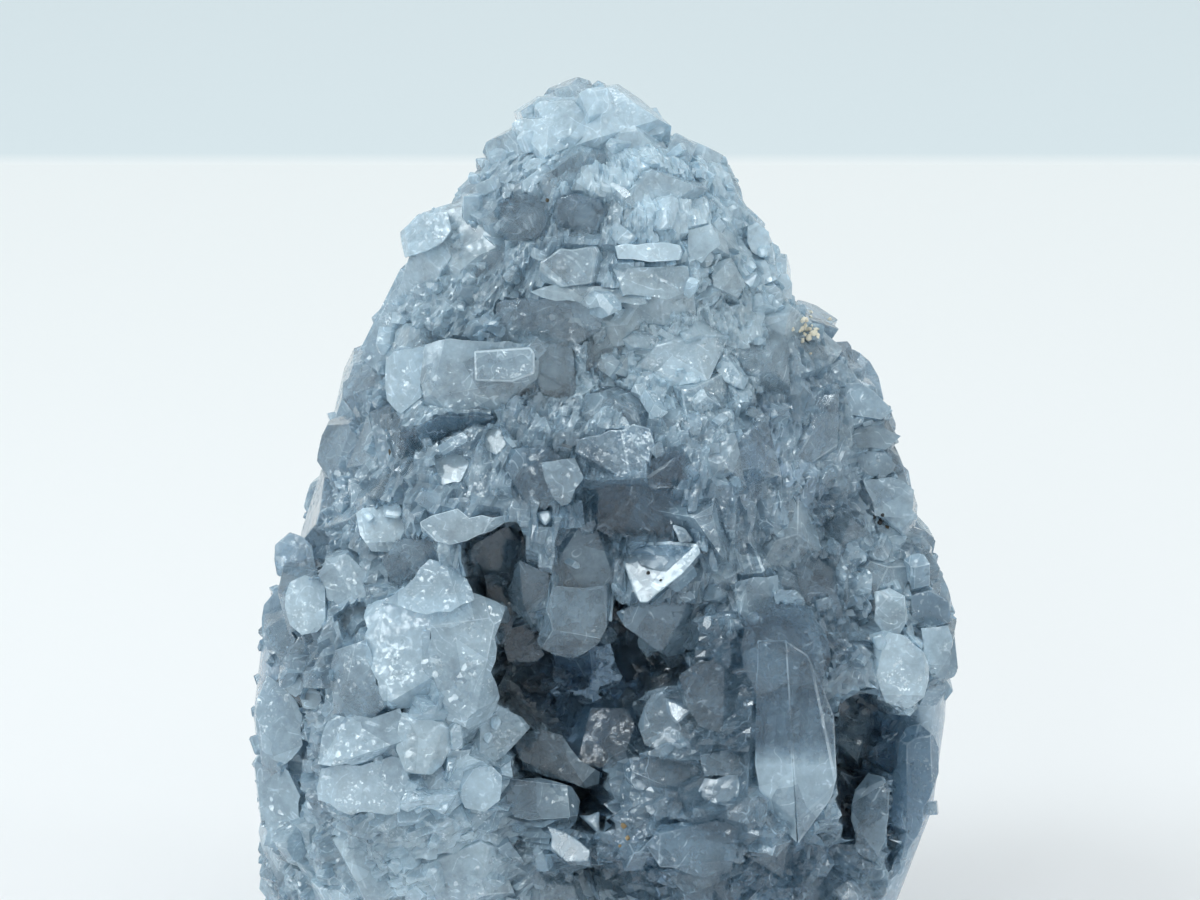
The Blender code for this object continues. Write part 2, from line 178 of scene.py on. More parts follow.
def skinNormal(turn, height):
    step = math.radians(2)
    rise = 1.5 * mm
    around = skin(turn + step, height) - skin(turn - step, height)
    upward = skin(turn, min(height + rise, wallLook["height"])) - skin(turn, height - rise)
    return around.cross(upward).normalized()


def turnOf(x, height):
    left, right, _, _ = reachAt(height)
    side = (x - (right - left) / 2) / ((right + left) / 2)
    most = 0.97  # short of the edge, where the skin turns too fast
    return -math.acos(max(-most, min(most, side)))


def viewAxes():
    sine, cosine = math.sin(eye["elevation"]), math.cos(eye["elevation"])
    return Vector((1, 0, 0)), Vector((0, sine, cosine)), Vector((0, -cosine, sine))


def seenPoint(across, up, lift):  # where the eye sees a spot that stands lift out of the face
    right, above, toward = viewAxes()
    eyePoint = above * eye["aimedAt"] + toward * eye["distance"]
    flat = right * across + above * up
    near = 0.03
    for _ in range(16):  # closes in on it
        point = flat.lerp(eyePoint, near)
        height = min(max(point.z, 0), wallLook["height"])
        gap = point.y - (skin(turnOf(point.x, height), height).y - lift)
        near += 0.5 * gap / eye["distance"]
    return point


def onRim(root):
    left, right, _, _ = reachAt(root.z)
    for side, low, high, width in wallLook["rims"]:
        inside = left + root.x if side < 0 else right - root.x
        if low * mm < root.z < high * mm and inside < width * mm:
            return True
    return False


def cutAway(shape, point, normal):
    parts = shape.verts[:] + shape.edges[:] + shape.faces[:]
    cut = bmesh.ops.bisect_plane(
        shape, geom=parts, plane_co=point, plane_no=normal, clear_outer=True, dist=1e-7
    )
    edges = [e for e in cut["geom_cut"] if isinstance(e, bmesh.types.BMEdge)]
    if edges:
        bmesh.ops.edgeloop_fill(shape, edges=edges)


# Numbers of every crystal, as shares of its length or width, in degrees where it is a slope or turn
crystalLook = {
    "brokenSlope": (48, 66),
    "brokenAt": (0.12, 0.05),  # under the tip
    "squareLean": 0.12,
    "squareAt": 0.02,
    "bluntAt": 0.1,
    "bluntLean": 0.2,
    "tipTurn": 12,
    "tipSlope": 6,
    "tipOff": 0.1,
    "cornerTurn": 9,
    "cornerCut": (0.72, 0.86),
    "chips": (0.3, 1.0),  # of the depth asked for
}
# Faces that close a tip: the way each one looks around the axis, and its slope, in degrees
tipFaces = {
    "chisel": ((0, 34), (180, 42), (90, 68), (270, 66)),
    "point": ((0, 38), (180, 34), (90, 44), (270, 40)),
    "blunt": ((0, 52), (180, 46), (90, 55), (270, 58)),
}


def slanted(around, slope):
    flat = math.cos(slope)
    return Vector((math.cos(around) * flat, math.sin(around) * flat, math.sin(slope)))


def tipPlanes(length, width, thick, tip, dice):
    own = crystalLook
    top = Vector((0, 0, length))
    if tip == "broken":
        slope = math.radians(dice.uniform(*own["brokenSlope"]))
        lean = slanted(dice.uniform(0, math.tau), slope)
        backLean = Vector((-lean.x, -lean.y, lean.z + 0.6))
        low, high = (Vector((0, 0, share * length)) for share in own["brokenAt"])
        return [(top - low, lean), (top - high, backLean)]
    if tip == "square":
        most = own["squareLean"]
        lean = Vector((dice.uniform(-most, most), dice.uniform(-most, most), 1))
        return [(top - Vector((0, 0, own["squareAt"] * length)), lean)]
    planes = []
    for around, slope in tipFaces[tip]:
        around = math.radians(around + dice.uniform(-own["tipTurn"], own["tipTurn"]))
        slope = math.radians(slope + dice.uniform(-own["tipSlope"], own["tipSlope"]))
        offWide, offThick = (dice.uniform(-own["tipOff"], own["tipOff"]) for _ in range(2))
        off = Vector((offWide * width, offThick * thick, 0))
        planes.append((top + off, slanted(around, slope)))
    if tip == "blunt":
        lean = Vector((dice.uniform(-own["bluntLean"], own["bluntLean"]), 0.1, 1))
        planes.append((top - Vector((0, 0, own["bluntAt"] * width)), lean))
    return planes


def crystal(length, width, thick, tip, corners, dice):  # root at the origin, tip along +Z
    shape = bmesh.new()
    bmesh.ops.create_cube(shape, size=1)
    shape.transform(Matrix.Translation((0, 0, length / 2)) @ Matrix.Diagonal((width, thick, length, 1)))
    for corner in corners:
        around = 45 * corner + dice.uniform(-crystalLook["cornerTurn"], crystalLook["cornerTurn"])
        around = math.radians(around)
        out = Vector((math.cos(around), math.sin(around), dice.uniform(-0.03, 0.06)))
        cornerReach = abs(out.x) * width / 2 + abs(out.y) * thick / 2
        cutAway(shape, out * cornerReach * dice.uniform(*crystalLook["cornerCut"]), out)
    for point, normal in tipPlanes(length, width, thick, tip, dice):
        cutAway(shape, point, normal)
    bmesh.ops.recalc_face_normals(shape, faces=shape.faces)
    return shape


def aimed(point, axis, roll, length, sunk):
    turned = axis.to_track_quat("Z", "Y").to_matrix().to_4x4()
    return Matrix.Translation(point - axis * length * sunk) @ turned @ Matrix.Rotation(roll, 4, "Z")


def keptInside(shape, matrix):
    shape.transform(matrix)
    shape.transform(Matrix.Translation(pastOutline([v.co for v in shape.verts if v.co.z > 0])))
    return shape


def chipped(shape, depth, count, dice):  # knocks a few corners off
    for _ in range(count):
        out = Vector([dice.gauss(0, 1) for _ in range(3)]).normalized()
        furthest = max(shape.verts, key=lambda v: v.co.dot(out)).co.copy()
        cutAway(shape, furthest - out * dice.uniform(*crystalLook["chips"]) * depth, out)


def rounded(shape, width, segments=1, wear=1.0):  # softens the edges, and marks them paler: partly abraded, partly a painted highlight along the edges
    bmesh.ops.remove_doubles(shape, verts=shape.verts, dist=1e-6)
    wornAndHighlight = shape.faces.layers.float.new("wornAndHighlight")
    made = bmesh.ops.bevel(
        shape, geom=shape.edges[:], offset=width, segments=segments, profile=0.5,
        affect="EDGES", clamp_overlap=True,
    )
    for face in made["faces"]:
        face[wornAndHighlight] = wear
    bmesh.ops.recalc_face_normals(shape, faces=shape.faces)


besidesLook = {
    # shares of the crystal that they grow beside
    "wide": (0.38, 0.68),
    "flat": (0.38, 0.72),
    "long": (0.5, 0.8),
    "aside": (0.26, 0.42),
    "along": (0.1, 0.9),
    "rootShare": (0.35, 0.75),  # of their own length
    # spread of the way they lie, and of their turn and lean
    "aroundSpread": 18,
    "turnSpread": 5,
    "leanSpread": 4,
    "chipShare": 0.8,
    "edgeShare": 0.8,
}


def besides(matrix, length, width, thick, tip, look, dice):  # crystals grown parallel to another
    own = besidesLook
    for _ in range(dice.choice(look["besides"])):
        around = math.radians(dice.choice((0, 90, 180, 270)) + dice.gauss(0, own["aroundSpread"]))
        wide = width * dice.uniform(*own["wide"])
        flat = thick * dice.uniform(*own["flat"])
        long = length * dice.uniform(*own["long"])
        aside = dice.uniform(*own["aside"])
        offset = Vector((math.cos(around) * width * aside, math.sin(around) * thick * aside, 0))
        offset.z = length * dice.uniform(*own["along"]) - long * dice.uniform(*own["rootShare"])
        shape = crystal(long, wide, flat, tip, dice.choice(((), (1,), (1, 5))), dice)
        turn = Matrix.Rotation(math.radians(dice.gauss(0, own["turnSpread"])), 4, "Z")
        lean = Matrix.Rotation(math.radians(dice.gauss(0, own["leanSpread"])), 4, "X")
        shape.transform(matrix @ Matrix.Translation(offset) @ lean @ turn)
        inside = pastOutline([v.co for v in shape.verts if v.co.z > 0] or [Vector((0, 0, 1 * mm))])
        shape.transform(Matrix.Translation(inside))
        chipped(shape, own["chipShare"] * look["chipDepth"], 2, dice)
        rounded(shape, look["edge"] * own["edgeShare"])
        yield shape


def inOrder(points, faces, wornAndHighlight):  # puts them in the same order in each run, which Blender doesn't
    order = np.lexsort(np.round(points, 7).T)
    places = np.argsort(order).tolist()
    turned = []
    for face in faces:
        corners = [places[corner] for corner in face]
        first = corners.index(min(corners))
        turned.append(corners[first:] + corners[:first])
    ranks = sorted(range(len(turned)), key=lambda number: turned[number])
    return points[order], [turned[number] for number in ranks], wornAndHighlight[ranks]


# A closed mesh as arrays, so that thousands of them can be joined quickly
def asArrays(shape):
    shape.verts.index_update()
    points = np.array([v.co for v in shape.verts])
    faces = [[v.index for v in face.verts] for face in shape.faces]
    layer = shape.faces.layers.float.get("wornAndHighlight")
    wornAndHighlight = np.array([face[layer] for face in shape.faces])
    shape.free()
    return inOrder(points, faces, wornAndHighlight) if faces else (points, faces, wornAndHighlight)


def joinedPiece(name, solids, material):
    points, faces = [], []
    start = 0
    for solid in solids:
        points.append(solid["points"])
        faces.extend([[start + corner for corner in face] for face in solid["faces"]])
        start += len(solid["points"])
    mesh = bpy.data.meshes.new(name)
    mesh.from_pydata(np.concatenate(points) + np.array(moveBy), [], faces)
    for attribute in ("tone", "milk", "rising", "frost"):
        values = [np.zeros(len(solid["points"])) + solid.get(attribute, 0.0) for solid in solids]
        layer = mesh.attributes.new(attribute, "FLOAT", "POINT")
        layer.data.foreach_set("value", np.concatenate(values).astype(np.float32))
    layer = mesh.attributes.new("wornAndHighlight", "FLOAT", "FACE")
    wornAndHighlight = np.concatenate([solid["wornAndHighlight"] for solid in solids])
    layer.data.foreach_set("value", wornAndHighlight.astype(np.float32))
    mesh.validate()
    mesh.materials.append(material)
    piece = bpy.data.objects.new(name, mesh)
    bpy.context.scene.collection.objects.link(piece)
    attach(piece, "root")
    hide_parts(nodeName)
    return piece


# How light and how milky the celestite is at a spot of the face. The dark ones only count inside:
# there the darker tone is painted shade in the hollows, and the lower milk makes the crystals clearer.
regionLook = {
    # across, height, half width, half height, tone, milk
    "patches": (
        (-1, 112, 13, 8, 1.2, 1.0),  # pale granular knob
        (11, 108, 8, 8, 1.1, 0.7),  # its right side
        (16, 97, 9, 10, 1.2, 0.7),  # right shoulder
        (-19, 99, 8, 9, 0.8, 0.5),  # left shoulder
        (-24, 86, 8, 8, 0.4, 0.3),  # left flank
        (-7, 106, 6, 3, -0.5, -0.6),  # slate crystals under the knob
        (-7, 91, 6, 6, 0.0, -0.6),  # smooth blue concave
        (7, 88, 12, 8, 1.1, 0.9),  # milky shelf
        (6, 78, 11, 4, -0.3, -0.2),  # under it
        (4, 71, 9, 5, -1.0, -0.6),  # brow over the pocket
        (22, 71, 11, 11, -0.1, -0.1),  # right flank
        (-22, 40, 11, 18, 0.6, 0.8),  # left lobe
        (-27, 20, 16, 10, 1.0, 0.7),  # its foot
        (6, 29, 10, 8, -0.9, -0.5),  # foot of the pocket
        (38, 46, 8, 10, 0.5, 0.5),  # right edge
        (17, 54, 10, 5, -0.9, -0.7),  # top of the right lobe
        (13, 44, 9, 7, -0.6, -0.6),  # right lobe
        (21, 22, 10, 8, -1.0, -0.5),  # its foot
        (39, 30, 5, 14, -0.8, 0.0),  # ground edge on the right
    ),
    # darker in tone inside the hollows: painted shade
    "hollows": (
        (-9, 57, 11, 7, -0.6, -0.6),  # recess
        (-3, 43, 10, 13, -0.7, -0.6),  # main pocket
        (0, 30, 7, 9, -0.6, -0.6),  # gully
        (34, 34, 6, 11, -0.9, -0.6),  # right hollow
        (-36, 40, 4, 12, -0.7, -0.8),  # left hollow
    ),
    "hollowDepth": 7 * mm,
    # how much each crystal differs from its region
    "toneSpread": 0.15,
    "milkSpread": 0.3,
}


def shareOf(patch, point):
    across, height, halfWidth, halfHeight = patch[:4]
    u = (point[0] / mm - across) / halfWidth
    v = (point[2] / mm - height) / halfHeight
    return math.exp(-(u * u + v * v))


def depthAt(point):  # how far a spot lies behind the face without its hollows
    height = min(max(point[2], 0), wallLook["height"])
    turn = turnOf(point[0], height)
    hollows = sum(swell[4] * shareOf(swell, point) for swell in wallLook["swells"] if swell[4] < 0)
    return point[1] - (skin(turn, height).y + hollows * mm)


def regionAt(point):
    tone = milk = 0.0
    inside = min(max(depthAt(point) / regionLook["hollowDepth"], 0), 1)
    for kind, weight in (("patches", 1.0), ("hollows", inside)):
        for patch in regionLook[kind]:
            share = shareOf(patch, point) * weight
            tone += patch[4] * share
            milk += patch[5] * share
    return tone, milk


def variedAt(point, dice):
    tone, milk = regionAt(point)
    return tone + dice.gauss(0, regionLook["toneSpread"]), milk + dice.gauss(0, regionLook["milkSpread"])


def solidOf(shape, root, tip, dice, parent=None):  # rising goes from 0 at the root to 1 at the tip
    if min(v.co.z for v in shape.verts) < 0:
        cutAway(shape, Vector(), Vector((0, 0, -1)))
    points, faces, wornAndHighlight = asArrays(shape)
    if not faces:
        return None
    axis = np.array(tip - root)
    rising = np.clip((points - np.array(root)) @ axis / (axis @ axis), 0, 1)
    frost = 0.0
    if parent:
        tone, milk, frost = parent["tone"], parent["milk"], parent["frost"]
    else:
        tone, milk = variedAt(points.mean(axis=0), dice)
    return {
        "points": points, "faces": faces, "wornAndHighlight": wornAndHighlight, "rising": rising,
        "tone": tone, "milk": milk, "frost": frost,
    }


def tinted(solid, item):  # adds what its table says to the look of its region
    for name in ("tone", "milk", "frost"):
        solid[name] += getattr(item, name)
    return solid


def grown(shape, matrix, middle, axis, sizes, tip, look, dice, item=None):  # with those beside it
    keptInside(shape, matrix)
    chipped(shape, look["chipDepth"], look["chips"], dice)
    rounded(shape, look["edge"], look["edgeSteps"])
    root, end = middle - axis * sizes[0] / 2, middle + axis * sizes[0] / 2
    parent = solidOf(shape, root, end, dice)
    if item:
        tinted(parent, item)
    yield parent
    for beside in besides(matrix, *sizes, tip, look, dice):
        yield solidOf(beside, root, end, dice, parent)


# Crystals that can be told apart, in mm and degrees. Across and up are the middle of each one as
# seen, and lift is how far it stands out. Heading is the way the tip points as seen, with 0 right
# and 90 up, and toward is its tilt toward the eye.
Placed = namedtuple(
    "Placed", "across up lift heading toward length width thick roll tip tone milk frost",
    defaults=(0, 0, 0),
)
largeLook = {
    "seed": 8,
    "detailSeed": 101,
    "edge": 0.16 * mm,
    "edgeSteps": 2,
    "chips": 3,
    "chipDepth": 0.9 * mm,
    "besides": (1, 2, 2),
    "crystals": (
        # Summit
        Placed(-5, 109.3, 1, 84, 42, 15, 13, 12, 20, "blunt"),
        Placed(-11.5, 105.5, 0, 120, 45, 13, 11, 10, 50, "blunt"),
        Placed(3, 107, 1, 70, 55, 13, 9, 10, 10, "blunt"),
        Placed(11, 103.5, 0, 60, 40, 12, 8, 8, 35, "blunt"),
        Placed(14.5, 101.5, 0, 30, 30, 11, 7, 7, 60, "blunt"),
        Placed(-15.5, 98.5, 1, 170, 40, 11, 7, 7, 15, "blunt"),
        Placed(-4, 101, 2, 250, 70, 12, 12, 10, 30, "broken"),
        Placed(6, 99.5, 2, 310, 65, 11, 10, 9, 70, "broken"),
        # Bright broken pair and the shelf under it
        Placed(-11, 96.5, 2, 330, 45, 11, 8, 7, 25, "point"),
        Placed(-4, 97, 2, 10, 40, 11, 8, 7, 60, "blunt"),
        Placed(-8, 92.5, 1, 12, 20, 17, 6, 6, 0, "chisel"),
        Placed(6, 92.5, 1, 2, 18, 15, 5.5, 6, 5, "blunt"),
        Placed(3, 87.5, 1, 352, 20, 19, 6, 7, 12, "chisel"),
        Placed(18.5, 96, 1, 320, 45, 11, 7, 7, 20, "point"),
        Placed(12, 95, 1, 70, 55, 11, 8, 7, 0, "blunt"),
        # Left shoulder
        Placed(-18, 92.5, 1, 70, 38, 17, 10, 10, 20, "blunt"),
        Placed(-23.5, 94, 1, 105, 30, 11, 8, 8, 45, "blunt"),
        Placed(-24.5, 86, 1, 62, 30, 17, 9, 9, 0, "blunt"),
        Placed(-29, 81.5, 0, 125, 40, 11, 8, 8, 30, "point"),
        # Slabs across the middle
        Placed(-14.5, 79, 2, 355, 55, 12, 9, 6.5, 4, "square"),
        Placed(-23, 77, 1, 110, 55, 13, 9, 8, 20, "blunt"),
        Placed(-4.5, 81, 0, 285, 50, 17, 14, 10, 12, "broken"),
        Placed(-20, 70.5, 2, 22, 35, 19, 7, 10, 340, "chisel"),
        Placed(-9, 73, 1, 40, 55, 14, 11, 9, 15, "broken"),
        Placed(2, 70.5, 1, 195, 55, 14, 10, 9, 15, "blunt"),
        Placed(-5, 65, 2, 215, 55, 14, 10, 9, 40, "broken"),
        Placed(13, 74, 0, 330, 65, 13, 9, 8, 10, "broken"),
        Placed(9, 79, 1, 60, 60, 13, 10, 9, 55, "blunt"),
        Placed(21, 83, 1, 40, 55, 13, 9, 9, 30, "point"),
        # Right edge
        Placed(33.5, 74, 0, 335, 25, 12, 7, 7, 30, "point"),
        Placed(35, 69.5, 0, 352, 25, 12, 6, 6, 0, "point"),
        Placed(34, 65, 0, 5, 25, 11, 6, 7, 20, "blunt"),
        Placed(35.5, 61.5, 1, 347, 28, 14, 7.5, 8, 10, "blunt"),
        Placed(39, 55, 0, 10, 30, 12, 7, 7, 40, "blunt"),
        Placed(41.5, 49.5, 0, 20, 30, 11, 7, 8, 15, "blunt"),
        Placed(41.5, 43, 0, 345, 40, 11, 8, 8, 70, "blunt"),
        # Brow of the pocket
        Placed(-15.5, 58, 3, 335, 50, 14, 9, 9, 20, "blunt"),
        Placed(13.5, 46.5, 4, 235, 55, 13, 9, 9, 60, "broken"),
        Placed(-28, 58.5, 1, 20, 60, 12, 9, 9, 35, "blunt"),
        Placed(-23, 55, 2, 250, 60, 12, 9, 9, 10, "blunt"),
        Placed(12, 58, 2, 300, 55, 14, 11, 10, 20, "chisel"),
        # Left lobe
        Placed(-21.5, 48, 4, 88, 50, 18, 15, 14, 15, "blunt"),
        Placed(-19, 39.5, 3, 20, 68, 15, 11.5, 11, 35, "broken"),
        Placed(-25, 37, 4, 190, 62, 16, 14, 13, 60, "blunt"),
        Placed(-14.5, 49, 3, 75, 45, 10, 5.5, 5.5, 20, "chisel"),
        Placed(-37, 47, 4, 262, 60, 11, 9, 9, 10, "blunt"),
        Placed(-31.5, 45.5, 3, 300, 50, 10, 6, 6, 30, "point"),
        Placed(-12, 31, 4, 352, 45, 14, 8, 8, 30, "point"),
        Placed(-38.5, 37.5, 3, 300, 55, 9, 5.5, 5.5, 0, "blunt"),
        Placed(-35, 35, 3, 310, 55, 9, 5.5, 5.5, 40, "point"),
        Placed(-29, 27.5, 3, 215, 58, 15, 12, 11, 10, "blunt"),
        Placed(-20, 26, 3, 320, 62, 15, 11, 10, 55, "blunt"),
        Placed(-37, 19.5, 2, 245, 50, 12, 6, 6, 15, "chisel"),
        Placed(-30, 14.5, 3, 200, 60, 14, 11, 10, 30, "blunt"),
        Placed(-19, 13.5, 3, 290, 60, 14, 11, 10, 20, "blunt"),
        # Right lobe
        Placed(11, 36, 4, 245, 60, 16, 13, 12, 40, "blunt"),
        Placed(20, 40, 3, 262, 55, 15, 12, 11, 15, "blunt"),
        Placed(8.5, 26.5, 4, 184, 45, 16, 8.5, 9, 5, "square"),
        Placed(13, 17, 5, 292, 52, 17, 13, 8, 12, "point"),
        Placed(17, 22, 3, 210, 55, 13, 9, 9, 70, "broken"),
        # Right rim
        Placed(30.5, 17, 1, 60, 50, 12, 7.5, 7, 0, "blunt"),
        # Foot of the pocket
        Placed(-8, 22, 4, 2, 40, 14, 8, 8, 10, "square"),
        Placed(-2, 16.5, 3, 20, 50, 12, 8, 8, 40, "point"),
        Placed(3.5, 11, 3, 350, 50, 12, 8.5, 8, 25, "point"),
        Placed(-8, 10, 3, 250, 55, 13, 10, 9, 15, "blunt"),
        Placed(26.5, 9.5, 1, 45, 55, 13, 9, 9, 25, "blunt"),
    ),
}


def largeCrystals(drawnAround):
    dice = random.Random(largeLook["seed"])
    detail = random.Random(largeLook["detailSeed"])
    right, up, toward = viewAxes()
    solids, taken = [], []
    for item in largeLook["crystals"]:
        heading = math.radians(item.heading)
        tilt = math.radians(item.toward)
        axis = (right * math.cos(heading) + up * math.sin(heading)) * math.cos(tilt)
        axis += toward * math.sin(tilt)
        middle = seenPoint(item.across * mm, item.up * mm, item.lift * mm)
        sizes = item.length * mm, item.width * mm, item.thick * mm
        shape = crystal(*sizes, item.tip, (1, 5), dice)
        matrix = aimed(middle, axis, math.radians(item.roll), sizes[0], 0.5)
        taken.append((middle, sizes[1]))
        solids += grown(shape, matrix, middle, axis, sizes, item.tip, largeLook, detail, item)
    return [pushedBehind(solid, drawnAround) for solid in solids if solid], taken
